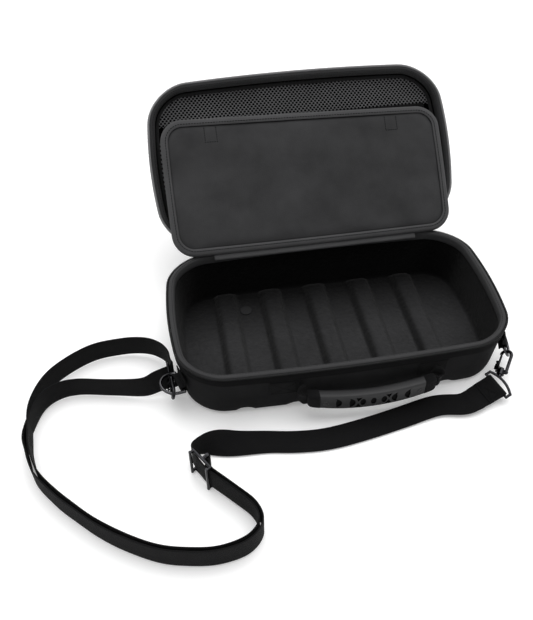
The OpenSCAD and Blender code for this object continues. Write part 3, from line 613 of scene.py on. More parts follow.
def rim(body, place, prefix):
    """Binding, zipper tape and coil of one half of the case."""
    link(prefix + "_rim_binding", band_mesh(prefix + "_rim_binding", binding_profile, place),
         TRIM if prefix == "tray" else LID_TRIM, body, (("base" if prefix == "tray" else "lid") + "_binding",))
    half = "base" if prefix == "tray" else "lid"
    tape = [(0.05, 48.9), (0.0, 50), (0.05, 56.9), (0.5, 57.45), (1.15, 57.3), (1.2, 49.2), (0.7, 48.7)]
    link(prefix + "_zipper_tape", band_mesh(prefix + "_zipper_tape", tape, place, zip_outline, False),
         TAPE, body, (half + "_zipper_tape",))
    verts, faces = [], []
    path = [Vector((x, y, 0)) for x, y in zip_outline(0.2, 20, 40)]
    for p, d in walk(path, 1.5):
        out = Vector((d.y, -d.x, 0))
        a, b = p + out * 1.15, p - out * 0.85
        for h, k in ((58.2, 1.0), (59.0, 0.86)):
            capsule(verts, faces, place(a.x, a.y, h), place(b.x, b.y, h), place(*d) - place(0, 0, 0), 0.5 * k, 0.8)
    core = [(0.45 + 0.5 * math.cos(a), 58.4 + 0.75 * math.sin(a)) for a in [2 * math.pi * i / 7 for i in range(7)]]
    coil = bits_mesh(prefix + "_zipper_coil", verts, faces)
    link(prefix + "_zipper_coil", coil, TEETH, body, (half + "_zipper_coil",))
    link(prefix + "_zipper_cord", band_mesh(prefix + "_zipper_cord", core, place, zip_outline, False),
         TEETH, body, ())
    normal = (place(0, 0, 60) - place(0, 0, 59)).normalized()
    seam = [place(x, y, 59.58) for x, y in outline(5.4, 14, 30)]
    stitches(prefix + "_binding_stitches", [seam], normal, DARK_THREAD, body, 2.9, 2.0, 0.32, closed=True)
    side_seam = [place(x, y, 50.4) for x, y in zip_outline(-0.02, 14, 30)]
    stitches(prefix + "_tape_stitches", [side_seam], normal, DARK_THREAD, body, 3.1, 2.1, 0.2)


rim("case_base", tray_space, "tray")
remake("cable_port_plug", PLUG, "case_base", 0.35)


# ---------------------------------------------------------------- lid
lid_outer = [(1.9, 57.6), (1.3, 55), (1.3, 48), (2.2, 42), (3.8, 35.5), (6.4, 29.8), (10.5, 26), (16.5, 24.2),
             (26, 23.6), (44, 23.3), (66, 23.1), (85.9, 23.0)]
link("lid_outer_shell", shell_mesh("lid_outer_shell", lid_outer, lid_space, side=40, wave=0.5),
     SHELL, "lid", ("lid_shell",))
lid_inner = [(6.6, 57.4), (7.2, 50), (7.8, 44), (9.5, 36), (13, 30.6), (20, 28.9), (40, 28.6), (66, 28.6), (85.9, 28.6)]
link("lid_inner_lining", shell_mesh("lid_inner_lining", lid_inner, lid_space, side=30, wave=0.4),
     LID_LINING, "lid", ("lid_lining",))
rim("lid", lid_space, "lid")
# painted highlight: a light tube round the lid's lip stands in for the rim light catching its edge
rim_highlight_section = [(0.55 + 1.25 * math.cos(a), 59.0 + 1.1 * math.sin(a)) for a in [math.pi * i / 5 for i in range(10)]]
link("lid_lip_painted_highlight", band_mesh("lid_lip_painted_highlight", rim_highlight_section, lid_space), RIM_HIGHLIGHT, "lid", ())

POCKET_Z = 48.2
zip_lo, zip_hi = box_mm("pocket_zipper_coil")
ZIP_Y = HINGE.y - 134
TAPE_HALF = 9


def pocket_sag(x, y):
    """The sheet bellies out of its frame a little."""
    u = max(0.0, 1 - (x / 158) ** 2) * max(0.0, 1 - (y / 82) ** 2)
    return POCKET_Z - 0.6 + 2.0 * u + ripple((x, y, 3), 45, 0.8)


def net_mesh(name, y0, y1):
    """Knitted net: rows of small six-sided eyes in real yarn."""
    fence = outline(10.2)
    px, py = 4.3, 2.5
    verts, faces, index = [], [], {}

    def vert(x, y):
        key = (round(x * 20), round(y * 20))
        if key not in index:
            index[key] = len(verts)
            verts.append(lid_space(x, y, pocket_sag(x, y)))
        return index[key]
    rows = int((y1 - y0) / py) + 1
    for j in range(rows):
        y = y0 + (j + 0.5) * py
        if y + py / 2 > y1 + 0.01:
            break
        shift = px / 2 if j % 2 else 0
        for i in range(-39, 40):
            x = i * px + shift
            if not inside(x, y, fence):
                continue
            # the cell's outer diamond and its eye share corners with the cells around it
            outer = [(x + px / 2, y), (x, y + py), (x - px / 2, y), (x, y - py)]
            eye = []
            for k in range(8):
                a = 2 * math.pi * k / 8
                eye.append((x + 1.52 * math.cos(a), y + 1.34 * math.sin(a)))
            o = [vert(*q) for q in outer]
            mids = []
            for k in range(4):
                a, b = outer[k], outer[(k + 1) % 4]
                mids.append(vert((a[0] + b[0]) / 2, (a[1] + b[1]) / 2))
            e = []
            for q in eye:
                e.append(len(verts))
                verts.append(lid_space(*q, pocket_sag(*q)))
            ring = [o[0], mids[0], o[1], mids[1], o[2], mids[2], o[3], mids[3]]
            for k in range(8):
                m = (k + 1) % 8
                faces.append((ring[k], ring[m], e[m], e[k]))
    mesh = bits_mesh(name, verts, faces)
    return mesh


def yarn(obj, thick):
    m = obj.modifiers.new("yarn", "SOLIDIFY")
    m.thickness = thick * MM
    m.offset = 0
    return obj


fence_lo, fence_hi = -CASE_D / 2 + 9, CASE_D / 2 - 9
upper_net = link("pocket_net_upper", net_mesh("pocket_net_upper", fence_lo, ZIP_Y - TAPE_HALF + 0.6), NET, "lid",
                 ("pocket_mesh_upper",))
lower_net = link("pocket_net_lower", net_mesh("pocket_net_lower", ZIP_Y + TAPE_HALF - 0.6, fence_hi), NET, "lid",
                 ("pocket_mesh_lower",))
yarn(upper_net, 0.55)
yarn(lower_net, 0.55)
frame_band = [(8.4, 47.2), (8.4, 48.6), (9.2, 49.3), (11.2, 49.2), (12.0, 48.5), (12.0, 47.2), (10.2, 46.8)]
link("pocket_edge_band", band_mesh("pocket_edge_band", frame_band, lid_space), BAND, "lid", ("pocket_binding",))


def pocket_zip():
    half = 150
    xs = [-half + i * 5 for i in range(int(2 * half / 5) + 1)]
    for k, (a, b) in enumerate(((-TAPE_HALF, -1.2), (1.2, TAPE_HALF))):
        section = [(a, 0), (a, 0.9), ((a + b) / 2, 1.15), (b, 0.9), (b, 0)]
        rows = [[lid_space(x, ZIP_Y + c, pocket_sag(x, ZIP_Y + c) - 0.1 + h) for x in xs] for c, h in section]
        link(f"pocket_zipper_tape_{k}", grid_mesh(f"pocket_zipper_tape_{k}", rows, wrap_v=True, caps=True), TAPE,
             "lid", ("pocket_zipper_tape",))
    verts, faces = [], []
    x = zip_lo.x
    while x < zip_hi.x:
        z = pocket_sag(x, ZIP_Y) + 0.9
        capsule(verts, faces, lid_space(x, ZIP_Y - 1.7, z), lid_space(x, ZIP_Y + 1.7, z), Vector((1, 0, 0)), 0.5, 0.9)
        x += 1.5
    link("pocket_zipper_coil_look", bits_mesh("pocket_zipper_coil_look", verts, faces), TEETH, "lid",
         ("pocket_zipper_coil",))


pocket_zip()
remake("pocket_zipper_slider", METAL, "pocket_slider", 0.3)
remake("pocket_zipper_pull", STEEL, "pocket_pull", 0.3)

# ---------------------------------------------------------------- divider flap
FLAP_O, _ = joint_at("flap_fold")
LEAN = math.pi - OPEN
flap_lo, flap_hi = box_mm("flap_binding")
FLAP_W = flap_hi.x - flap_lo.x
FLAP_LEN = (flap_hi.z - flap_lo.z - 5 * math.cos(LEAN)) / math.sin(LEAN)
FLAP_START = 5
FLAP_R = 24
FLAP_EDGE = 8


def flap_space(x, y, z):
    """From the flap's own plane (y up the flap, z out of its face) to where it leans."""
    c, s = math.cos(LEAN), math.sin(LEAN)
    sag = -1.6 * max(0.0, 1 - (x / (FLAP_W / 2)) ** 2) * (y / FLAP_LEN) ** 2
    z = z + sag
    y = y * (0.99 - 0.034 * x / (FLAP_W / 2))      # the sewn panel is a little out of square
    return Vector((x, FLAP_O.y + y * c - z * s, FLAP_O.z + y * s + z * c))


def flap_outline(inset, corner=10, side=26):
    w, l, r = FLAP_W / 2 - inset, FLAP_LEN / 2 - inset, max(FLAP_R - inset, 6)
    pts = []
    for k in range(4):
        cx, cy = (1 if k in (0, 3) else -1) * (w - r), (1 if k < 2 else -1) * (l - r)
        pts += [Vector((cx + r * math.cos(math.radians(90 * (k + i / corner))),
                        cy + r * math.sin(math.radians(90 * (k + i / corner))))) for i in range(corner + 1)]
        nx = (1 if (k + 1) % 4 in (0, 3) else -1) * (w - r)
        ny = (1 if (k + 1) % 4 < 2 else -1) * (l - r)
        a = math.radians(90 * (k + 1))
        b = Vector((nx + r * math.cos(a), ny + r * math.sin(a)))
        last = pts[-1]
        pts += [last.lerp(b, i / side) for i in range(1, side)]
    return [(p.x * (1 + 0.008 * (1 - (p.y / l) ** 2)), p.y * (1 + 0.012 * (1 - (p.x / w) ** 2))) for p in pts]


def flap_point(x, y, z):
    return flap_space(x, y + FLAP_START + FLAP_LEN / 2, z)


edge_profile = [(FLAP_EDGE, 3.0), (FLAP_EDGE - 0.3, 3.45), (5.5, 3.6), (2.8, 3.45), (1.0, 2.6), (0.1, 1.0), (0.0, -0.6),
                (0.6, -2.2), (2.2, -3.2), (5.0, -3.4), (FLAP_EDGE, -3.1), (FLAP_EDGE, -2.3), (3.5, -2.4), (1.8, -1.0),
                (1.8, 1.4), (3.5, 2.5)]
rows = [[flap_point(x, y, z) for x, y in flap_outline(inset)] for inset, z in edge_profile]
link("flap_edge_binding", grid_mesh("flap_edge_binding", rows, wrap_u=True, wrap_v=True), FLAP_TRIM, "flap",
     ("flap_binding",))
FACE = Vector((0, -math.sin(LEAN), math.cos(LEAN)))
stitches("flap_edge_stitches", [[flap_point(x, y, 3.6) for x, y in flap_outline(5.4)]], FACE, DARK_THREAD, "flap",
         3.0, 2.2, 0.42, closed=True)


def padded_panel():
    """The flap's foam board in its cover: starts thin, is swollen as cloth, then settles into the binding."""
    rows = []
    for inset, z in ((60, 1.7), (30, 1.7), (12, 1.7), (4.4, 1.5), (3.4, 0), (4.4, -1.5), (12, -1.7), (30, -1.7), (60, -1.7)):
        rows.append([Vector((x, y, z)) for x, y in flap_outline(inset)])
    mesh = grid_mesh("flap_padded_panel", rows, wrap_u=True, caps=True)
    obj = link("flap_padded_panel", mesh, FLAP_CLOTH)
    bpy.context.view_layer.objects.active = obj
    re = obj.modifiers.new("remesh", "REMESH")
    re.mode = "VOXEL"
    re.voxel_size = 4.2 * MM
    settle(obj)
    rest = [v.co.copy() for v in obj.data.vertices]
    cloth = obj.modifiers.new("cloth", "CLOTH")
    cloth.settings.use_pressure = True
    cloth.settings.uniform_pressure_force = 4
    cloth.settings.effector_weights.gravity = 0
    cloth.settings.tension_stiffness = 25
    cloth.settings.bending_stiffness = 2
    scene = bpy.context.scene
    for f in range(1, 21):
        scene.frame_set(f)
    settle(obj)
    scene.frame_set(1)
    cap = 1.6 * MM
    for v, r in zip(obj.data.vertices, rest):
        move = v.co - r
        if move.length > cap:
            v.co = r + move.normalized() * cap
    for v in obj.data.vertices:
        p = v.co / MM
        edge = max(0.0, 1 - max(abs(p.x) / (FLAP_W / 2), abs(p.y) / (FLAP_LEN / 2)))
        limit = 2.4 + 0.9 * min(1.0, edge * 6) + ripple((p.x, p.y, 9), 34, 0.3)
        p.z = max(-limit, min(limit, p.z * 1.25))
        v.co = flap_point(p.x, p.y, p.z) * MM
    sub = obj.modifiers.new("sub", "SUBSURF")
    sub.levels = sub.render_levels = 1
    obj.data.polygons.foreach_set("use_smooth", [True] * len(obj.data.polygons))
    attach(obj, "flap")
    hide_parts("flap_board")
    return obj


def settle(obj):
    """Bakes the modifiers into the mesh."""
    dg = bpy.context.evaluated_depsgraph_get()
    baked = bpy.data.meshes.new_from_object(obj.evaluated_get(dg), depsgraph=dg)
    obj.modifiers.clear()
    obj.data = baked


padded_panel()
for k, s in enumerate((-1, 1)):
    x0, x1 = s * 101 - 6.5, s * 101 + 6.5
    y0, y1 = FLAP_LEN / 2 - 26, FLAP_LEN / 2 - 9.5
    run = [flap_point(*q, 3.2) for q in ((x0, y1), (x0, y0), (x1, y0), (x1, y1))]
    stitches(f"flap_tab_stitches_{k}", [run], FACE, DARK_THREAD, "flap", 2.6, 1.9, 0.36)
remake("flap_tabs", WEBBING, "flap", 0.3)

HALF_STRIP = 113
strip_rows = []
STRIP_UP = Vector((0, math.cos(LEAN), math.sin(LEAN)))
for t, out in ((4.8, 0.75), (2.4, 0.9), (0.8, 1.35), (-0.6, 1.25), (-1.4, 0.5), (-1.4, -0.5), (-0.7, -1.2),
               (0.6, -1.3), (2.6, -0.8), (4.8, -0.7)):
    strip_rows.append([Vector((x, 0, 0)) + Vector((0, FLAP_O.y, FLAP_O.z)) + STRIP_UP * t
                       + FACE * (out + ripple((x, t, 5), 24, 0.25))
                       for x in [-HALF_STRIP + 226 * i / 60 for i in range(61)]])
link("flap_hinge_fold", grid_mesh("flap_hinge_fold", strip_rows, wrap_v=True, caps=True), FLAP_TRIM, "flap_strip",
     ("flap_hinge_strip",))

# ---------------------------------------------------------------- hinge spine
SPINE_LEN = 206


def spine():
    inner = [(92.75, 44), (93.4, 50), (94.3, 56)]
    path = [Vector((0, y, z)) for y, z in inner]
    path += [Vector((0, 96.1, 58.9)), Vector((0, 97.7, 59.2))]
    path += [lid_space(0, y, z) for y, z in reversed(inner)]
    path = smooth_curve(path, 4)
    xs = [-SPINE_LEN / 2 + SPINE_LEN * i / 50 for i in range(51)]
    front, back = [], []
    n = len(path)
    for i, p in enumerate(path):
        d = (path[min(i + 1, n - 1)] - path[max(i - 1, 0)]).normalized()
        out = Vector((0, -d.z, d.y))
        pleat = 0.5 * math.sin(math.pi * i / (n - 1))
        front.append([Vector((x, p.y, p.z)) + out * (0.45 + ripple((x, i, 2), 19, 0.35) * pleat) for x in xs])
        back.append([Vector((x, p.y, p.z)) + out * (-0.45 + ripple((x, i, 2), 19, 0.35) * pleat) for x in xs])
    mesh = grid_mesh("hinge_spine_cloth", front + back[::-1], wrap_v=True, caps=True)
    obj = link("hinge_spine_cloth", mesh, SHELL, None, ("hinge_spine",))
    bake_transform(obj)


spine()

# ---------------------------------------------------------------- zipper hardware
for side in ("left", "right"):
    remake("zipper_slider_" + side, METAL, "case_base", 0.35)
    remake("zipper_pull_" + side, METAL, "zipper_pull_" + side, 0.3)

# ---------------------------------------------------------------- handle
grip_lo, grip_hi = box_mm("handle_grip")
GRIP_C = (grip_lo + grip_hi) / 2
GRIP_HALF = (grip_hi.x - grip_lo.x) / 2


def grip_bend(x):
    """How the moulded grip bows: its ends rise and draw back to the case."""
    u = (x - GRIP_C.x) / GRIP_HALF
    return Vector((0, 4.5 * u * u, 5.0 * u * u - 0.8))


def bow(p, thin=0.16):
    """Moves a point of the straight grip to where the bowed grip has it."""
    u = (p.x - GRIP_C.x) / GRIP_HALF
    squeeze = 1 - thin * min(1.0, abs(u)) ** 4
    return Vector((p.x, p.y, GRIP_C.z + (p.z - GRIP_C.z) * squeeze)) + grip_bend(p.x)


def prism(bm, points, y0, y1, mat):
    """A closed prism between two depths, standing on an outline of x, z pairs."""
    a = [bm.verts.new((x, y0, z)) for x, z in points]
    b = [bm.verts.new((x, y1, z)) for x, z in points]
    faces = [bm.faces.new(a), bm.faces.new(b[::-1])]
    n = len(points)
    faces += [bm.faces.new((a[(k + 1) % n], a[k], b[k], b[(k + 1) % n])) for k in range(n)]
    for face in faces:
        face.material_index = mat


def crescent(x, s, reach=9.0, r=6.9, bite=5.9, n=14):
    """A crescent, round on the side that s points to."""
    span = math.radians(82)
    outer = [(x + s * reach * math.cos(a), r * math.sin(a)) for a in [-span + 2 * span * i / n for i in range(n + 1)]]
    inner = [(px - s * bite * math.cos(math.pi / 2 * abs(pz) / outer[-1][1]), pz) for px, pz in outer[::-1]]
    return outer + inner[1:-1]


def oval(x, rx, rz, n=20):
    return [(x + rx * math.cos(a), rz * math.sin(a)) for a in [2 * math.pi * i / n for i in range(n)]]


def grip():
    """The moulded grip: an eased bar with the cut-outs of its face sunk into it."""
    w, h, ease = (grip_hi.y - grip_lo.y) / 2, (grip_hi.z - grip_lo.z) / 2, 2.6
    section = []
    for k in range(4):
        cy, cz = (w - ease) * (1, -1, -1, 1)[k], (h - ease) * (1, 1, -1, -1)[k]
        section += [(cy + ease * math.cos(a), cz + ease * math.sin(a))
                    for a in [math.pi / 2 * (k + i / 5) for i in range(6)]]
    rows = []
    steps = 60
    for i in range(steps + 1):
        x = -GRIP_HALF + 2 * GRIP_HALF * i / steps
        end = min(1.0, (GRIP_HALF - abs(x)) / 2.2)
        k = 1 - 0.16 * (1 - math.sqrt(1 - (1 - end) ** 2))
        rows.append([(x, y * k, z * k) for y, z in section])
    mesh = grid_mesh("handle_grip_look", [[Vector(p) for p in row] for row in rows], wrap_u=True, caps=True)
    body = bpy.data.objects.new("grip_blank", mesh)
    mesh.materials.append(RUBBER)
    mesh.materials.append(RECESS_SHADE)
    bm = bmesh.new()
    shapes = [oval(x, 2.8, 4.6) for x in (-10.4, 0, 10.4)]
    for s in (-1, 1):
        shapes += [[(s * 11.6, z * 6.6), (s * 17.6, z * 6.6), (s * 15.2, z * 1.2)] for z in (-1, 1)]
        shapes += [crescent(s * x, -s) for x in (26.7, 39.8)]
    for points in shapes:
        for side in (-1, 1):
            prism(bm, [(x * MM, z * MM) for x, z in points], side * (w - 1.3) * MM, side * (w + 2) * MM, 1)
    bmesh.ops.recalc_face_normals(bm, faces=bm.faces[:])
    cut = bpy.data.meshes.new("grip_cutter")
    bm.to_mesh(cut)
    bm.free()
    cut.materials.append(RUBBER)
    cut.materials.append(RECESS_SHADE)
    cutter = bpy.data.objects.new("grip_cutter", cut)
    for obj in (body, cutter):
        bpy.context.scene.collection.objects.link(obj)
    m = body.modifiers.new("cut", "BOOLEAN")
    m.operation, m.solver, m.object = "DIFFERENCE", "EXACT", cutter
    graph = bpy.context.evaluated_depsgraph_get()
    done = bpy.data.meshes.new_from_object(body.evaluated_get(graph), depsgraph=graph)
    for obj in (body, cutter):
        bpy.data.objects.remove(obj)
    done.name = "handle_grip_look"
    sunk = [face.material_index for face in done.polygons]
    done.materials.clear()
    for v in done.vertices:
        v.co = bow(v.co / MM + GRIP_C) * MM
    obj = link("handle_grip_look", done, RUBBER, "handle", ("handle_grip",))
    # painted shade: the sunk faces of the cut-outs take the dark second slot
    done.materials.append(RECESS_SHADE)
    done.polygons.foreach_set("material_index", sunk)
    done.set_sharp_from_angle(angle=math.radians(35))
    return obj


grip()


def rivets():
    """A ring and a dished head at each end of both faces."""
    verts, faces = [], []
    w = (grip_hi.y - grip_lo.y) / 2
    rivet_lo, rivet_hi = box_mm("handle_rivets")
    reach = (rivet_hi.x - rivet_lo.x) / 2 - 2.6
    profile = [(0, 0.1), (1.3, 0.1), (1.7, 0.5), (2.2, 0.8), (2.8, 0.6), (3.1, -0.3)]
    for s in (-1, 1):
        for side in (-1, 1):
            base, n = len(verts), 28
            for r, up in profile:
                for i in range(n):
                    a = 2 * math.pi * i / n
                    p = Vector((GRIP_C.x + s * reach + r * math.cos(a), GRIP_C.y + side * (w + up),
                                GRIP_C.z + r * math.sin(a)))
                    verts.append(bow(p) * MM)
            for k in range(len(profile) - 1):
                for i in range(n):
                    q = [base + k * n + i, base + k * n + (i + 1) % n, base + (k + 1) * n + (i + 1) % n,
                         base + (k + 1) * n + i]
                    faces.append(q if side > 0 else q[::-1])
    mesh = bpy.data.meshes.new("handle_rivets_look")
    mesh.from_pydata(verts, [], faces)
    mesh.polygons.foreach_set("use_smooth", [True] * len(faces))
    link("handle_rivets_look", mesh, RUBBER, "handle", ("handle_rivets",))


rivets()


def wall_y(x, z, stand):
    """Front wall of the tray at x and height z, plus stand."""
    inset = 1.3 if z > 48 else (1.3 + (48 - z) * 0.112 if z > 24 else 4 + (24 - z) * 0.11)
    return -(CASE_D / 2 - inset) * (1 - 2 * SIDE_BOW / CASE_D * (2 * x / CASE_W) ** 2) - stand


patch_lo, patch_hi = box_mm("handle_patches")
PATCH_W, PATCH_H = 30, 22
PATCH_Z = (patch_lo.z + patch_hi.z) / 2
patch_mids = [patch_lo.x + PATCH_W / 2, patch_hi.x - PATCH_W / 2]
for k, cx in enumerate(patch_mids):
    rows = []
    nu, nv = 24, 18
    for j in range(nv + 1):
        row = []
        for i in range(nu + 1):
            x = cx - PATCH_W / 2 + PATCH_W * i / nu
            z = PATCH_Z - PATCH_H / 2 + PATCH_H * j / nv
            s = min(i, nu - i, j, nv - j) / 1.5
            lift = 1.7 * (1 - (1 - min(1.0, s)) ** 3)
            row.append((x, wall_y(x, z, lift - 0.3 + ripple((x, 0, z), 9, 0.25)), z))
        rows.append(row)
    link(f"handle_patch_{k}", grid_mesh(f"handle_patch_{k}", rows), WEBBING, "case_base", ("handle_patches",))
    q = [(cx + a, PATCH_Z + b) for a, b in ((-12, -8), (12, -8), (12, 8), (-12, 8))]

    def on_patch(a, b, n=9):
        return [Vector((a[0] + (b[0] - a[0]) * t / n, 0, a[1] + (b[1] - a[1]) * t / n)) for t in range(n + 1)]
    runs = [on_patch(q[i], q[(i + 1) % 4]) for i in range(4)] + [on_patch(q[0], q[2]), on_patch(q[1], q[3])]
    runs = [[Vector((p.x, wall_y(p.x, p.z, 1.45), p.z)) for p in run] for run in runs]
    stitches(f"handle_patch_stitches_{k}", runs, Vector((0, -1, 0.1)), DARK_THREAD, "case_base", 2.8, 2.0, 0.24)

PIVOT, _ = joint_at("handle_swing")
arm_rows = []
for k, s in enumerate((-1, 1)):
    end = GRIP_C.x + s * GRIP_HALF
    tip = Vector((end - s * 8, GRIP_C.y, GRIP_C.z)) + grip_bend(end - s * 8)
    mouth = Vector((end + s * 1.5, GRIP_C.y, GRIP_C.z)) + grip_bend(end)
    path = smooth_curve([
        Vector((end + s * 2, PIVOT.y + 0.9, PIVOT.z + 2)),
        Vector((end + s * 7.5, PIVOT.y - 1.2, PIVOT.z + 0.6)),
        Vector((end + s * 9.2, (PIVOT.y + mouth.y) / 2 - 0.6, (PIVOT.z + mouth.z) / 2)),
        Vector((end + s * 5.2, mouth.y - 0.2, mouth.z + 0.3)), mouth, tip], 6)
    n = len(path)
    across = [Vector((0, -0.25 * (1 - i / (n - 1)), 1)) for i in range(n)]
    link(f"handle_web_{k}", strip_mesh(f"handle_web_{k}", path, across, 15, 1.8, 0.2), WEBBING, "handle",
         ("handle_webbing",))


for k, s in enumerate((-1, 1)):
    hy, hz = (grip_hi.y - grip_lo.y) / 2 + 0.7, (grip_hi.z - grip_lo.z) / 2 + 0.5
    rows = []
    for back, k_size in ((9.5, 0.93), (9.2, 1.0), (5, 1.0), (2, 1.0), (0, 0.97), (-1.5, 0.86), (-2.4, 0.62)):
        x = s * (GRIP_HALF - back)
        ring = []
        for i in range(32):
            a = 2 * math.pi * i / 32
            cy, cz = math.cos(a), math.sin(a)
            ring.append(bow(Vector((x, math.copysign(abs(cy) ** 0.45, cy) * hy * k_size,
                                    math.copysign(abs(cz) ** 0.45, cz) * hz * k_size)) + GRIP_C))
        rows.append(ring)
    link(f"grip_end_sleeve_{k}", grid_mesh(f"grip_end_sleeve_{k}", rows, wrap_u=True, caps=True), WEBBING, "handle",
         ())


# ---------------------------------------------------------------- ring tabs, rings and hooks
def ring_tab(side):
    pos, axis = joint_at(f"ring_{side}_swing")
    s = 1 if side == "right" else -1
    front = axis * s
    out = Vector((0, 0, 1)).cross(front) * s
    if out.x * s < 0:
        out = -out
    up = Vector((0, 0, 1))
    lo, hi = -4.5, 13.5
    loop = [(-2.0, hi), (-2.6, hi * 0.5), (-2.0, 2.7), (0.0, 2.6), (1.8, 1.8), (2.5, 0), (1.8, -1.8), (0, -2.55),
            (-2.2, -2.5), (-3.5, -3.2), (-4.1, lo)]
    path = smooth_curve([pos + out * a + up * b for a, b in loop], 5)
    node = "ring_tab_" + side
    link(node + "_look", strip_mesh(node + "_look", path, [front] * len(path), 20, 1.3, 0.1), WEBBING, "case_base",
         (node,))
    runs = [[pos + out * -1.75 + front * e + up * 6.0, pos + out * -1.2 + front * e + up * 12.3] for e in (-8, 8)]
    runs += [[pos + out * d + front * -8 + up * b, pos + out * d + front * 8 + up * b]
             for d, b in ((-1.75, 6.0), (-1.2, 12.3))]
    stitches(node + "_stitches", runs, out, DARK_THREAD, "case_base", 2.6, 1.9, 0.22)


for side in ("left", "right"):
    ring_tab(side)
    remake("d_ring_" + side, STEEL, "ring_" + side, 0)
    remake("hook_body_" + side, METAL, "hook_" + side, 0.3)
    remake("hook_pin_" + side, STEEL, "hook_" + side, 0.1)
    remake("hook_spring_" + side, STEEL, "hook_" + side, 0)
    remake("hook_gate_" + side, METAL, "gate_" + side, 0.25)
    remake("hook_eye_" + side, METAL, "strap", 0.25)


# ---------------------------------------------------------------- strap
def rails(node):
    """The four long edges of a ribbon solid, each as a run of points in mm."""
    bm = bmesh.new()
    bm.from_mesh(frame["nodes"][node].data)
    bmesh.ops.remove_doubles(bm, verts=bm.verts, dist=1e-6)
    corners = [v for v in bm.verts if len(v.link_edges) < 6]
    near = sorted(corners, key=lambda v: (v.co - corners[0].co).length)
    ring = [near[0], near[1], near[3], near[2]]
    seen, rings = set(ring), [ring]
    while True:
        fresh = {e.other_vert(v) for v in ring for e in v.link_edges} - seen
        if len(fresh) != 4:
            break
        ring = list(min(itertools.permutations(sorted(fresh, key=lambda v: v.index)),
                        key=lambda p: sum((a.co - b.co).length for a, b in zip(ring, p))))
        seen.update(ring)
        rings.append(ring)
    runs = [[ring[k].co.copy() / MM for ring in rings] for k in range(4)]
    bm.free()
    return runs


def strap():
    r = rails("strap_webbing")
    n = min(len(run) for run in r)
    if (r[0][0] - r[1][0]).length < (r[1][0] - r[2][0]).length:
        r = r[1:] + r[:1]
    centre = [(r[0][i] + r[1][i] + r[2][i] + r[3][i]) / 4 for i in range(n)]
    across = [((r[0][i] + r[3][i]) - (r[1][i] + r[2][i])).normalized() for i in range(n)]
    width = ((r[0][n // 2] + r[3][n // 2]) - (r[1][n // 2] + r[2][n // 2])).length / 2
    fine_c = smooth_curve(centre, 3)
    fine_a = smooth_curve(across, 3)
    link("strap_webbing_look", strip_mesh("strap_webbing_look", fine_c, fine_a, width, 1.4, 0.25), WEBBING, "strap",
         ("strap_webbing",))
    return width


WEB_W = strap()


def strap_fold():
    """The webbing's end turned round the eye's bar and sewn back on itself."""
    pos, axis = joint_at("hook_right_swivel")
    bar, leg, bow, stem, skew, length = 30, 5, 4, 5.5, math.radians(-34), 18
    radius = (bar * bar / 4 + bow * bow) / (2 * bow)
    c = radius - bow - leg
    eye = pos + axis * (stem + math.sqrt(radius ** 2 - (c * math.sin(skew)) ** 2) - c * math.cos(skew))
    square = (Vector((0, 0, 1)) - axis * axis.z).normalized()
    rise = square.cross(axis)
    side = rise * math.cos(skew) - axis * math.sin(skew)
    along = (axis * math.cos(skew) + rise * math.sin(skew) + square * 0.13).normalized()
    up = along.cross(side)
    loop = [(length, 0.85), (10, 0.95), (4, 1.7), (0.8, 2.5), (-1.7, 1.7), (-2.5, 0), (-1.7, -1.7), (0.8, -2.5),
            (4, -1.7), (10, -0.95), (length, -0.85)]
    path = smooth_curve([eye + along * a + up * b for a, b in loop], 5)
    link("strap_end_fold_look", strip_mesh("strap_end_fold_look", path, [side] * len(path), WEB_W, 1.3, 0.1), WEBBING,
         "strap", ("strap_end_fold",))
    corners = [(15.5, -9.5), (15.5, 9.5), (5.5, 9.5), (5.5, -9.5)]
    pts = [eye + along * a + side * b + up * (1.72 if a > 8 else 2.05) for a, b in corners]
    runs = [[pts[i], pts[(i + 1) % 4]] for i in range(4)] + [[pts[0], pts[2]], [pts[1], pts[3]]]
    stitches("strap_end_stitches", runs, up, DARK_THREAD, "strap", 2.6, 1.9, 0.24)


strap_fold()
remake("strap_slider", METAL, "slider", 0.2)
remake("strap_slider_loop", WEBBING, "slider", 0.4)

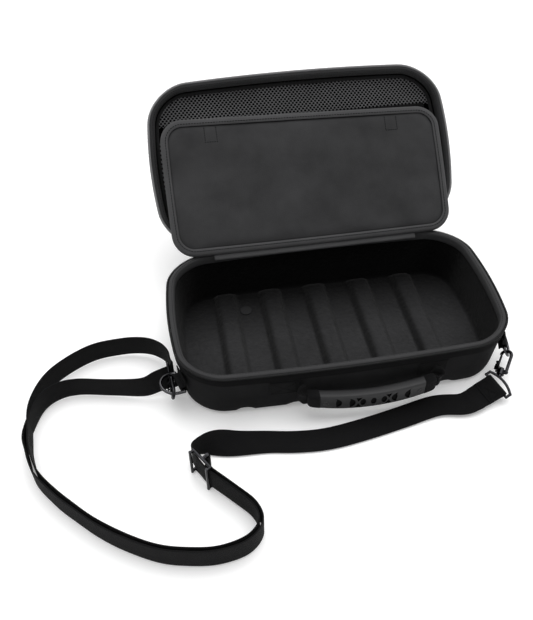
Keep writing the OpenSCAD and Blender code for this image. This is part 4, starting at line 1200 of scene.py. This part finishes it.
# ---------------------------------------------------------------- floor, light and camera
floor_mesh = bpy.data.meshes.new("studio_floor")
F = 4.0
floor_mesh.from_pydata([(-F, -F, -0.0004), (F, -F, -0.0004), (F, F, -0.0004), (-F, F, -0.0004)], [], [(0, 1, 2, 3)])
floor_mat, _, floor_bsdf = new_mat("studio_paper", (0.88, 0.88, 0.88), 0.9, spec=0.1)
floor_bsdf.inputs["Emission Color"].default_value = (1, 1, 1, 1)
floor_bsdf.inputs["Emission Strength"].default_value = 0.22
floor = bpy.data.objects.new("studio_floor", floor_mesh)
floor_mesh.materials.append(floor_mat)
bpy.context.scene.collection.objects.link(floor)

world = bpy.data.worlds.new("studio")
world.use_nodes = True
wt = world.node_tree
path = wt.nodes.new("ShaderNodeLightPath")
soft = wt.nodes.new("ShaderNodeMapRange")     # diffuse rays see a dimmer room than reflections do
soft.inputs["To Min"].default_value = 0.85
soft.inputs["To Max"].default_value = 0.3
wt.links.new(path.outputs["Is Diffuse Ray"], soft.inputs["Value"])
seen = wt.nodes.new("ShaderNodeMath")         # the room itself is seen as plain white
seen.operation = "MAXIMUM"
wt.links.new(soft.outputs["Result"], seen.inputs[0])
wt.links.new(path.outputs["Is Camera Ray"], seen.inputs[1])
wt.links.new(seen.outputs[0], wt.nodes["Background"].inputs["Strength"])
wt.nodes["Background"].inputs["Color"].default_value = (1, 1, 1, 1)
bpy.context.scene.world = world


def soft_sun(name, toward, angle, strength):
    data = bpy.data.lights.new(name, "SUN")
    data.angle = math.radians(angle)
    data.energy = strength
    obj = bpy.data.objects.new(name, data)
    bpy.context.scene.collection.objects.link(obj)
    obj.rotation_euler = Vector(toward).to_track_quat("-Z", "Y").to_euler()
    obj.location = (0, 0, 1.5)
    return obj


soft_sun("overhead", (-0.1, -0.28, -1), 75, 3.1)
soft_sun("front_fill", (0.35, 0.75, -0.6), 60, 0.25)

camera_data = bpy.data.cameras.new("camera")
camera_data.sensor_fit = "HORIZONTAL"
camera_data.sensor_width = 36
camera_data.lens = 49.84
camera_data.clip_start = 0.01
camera = bpy.data.objects.new("camera", camera_data)
bpy.context.scene.collection.objects.link(camera)
right = Vector((0.98603, -0.16649, -0.00521)).normalized()
look = Vector((0.11425, 0.69872, -0.70621)).normalized()
up = right.cross(look).normalized()
camera.matrix_world = Matrix((
    (right.x, up.x, -look.x, -0.15588), (right.y, up.y, -look.y, -0.52765), (right.z, up.z, -look.z, 0.58578),
    (0, 0, 0, 1)))
bpy.context.scene.camera = camera
bpy.context.scene.view_settings.view_transform = "Standard"
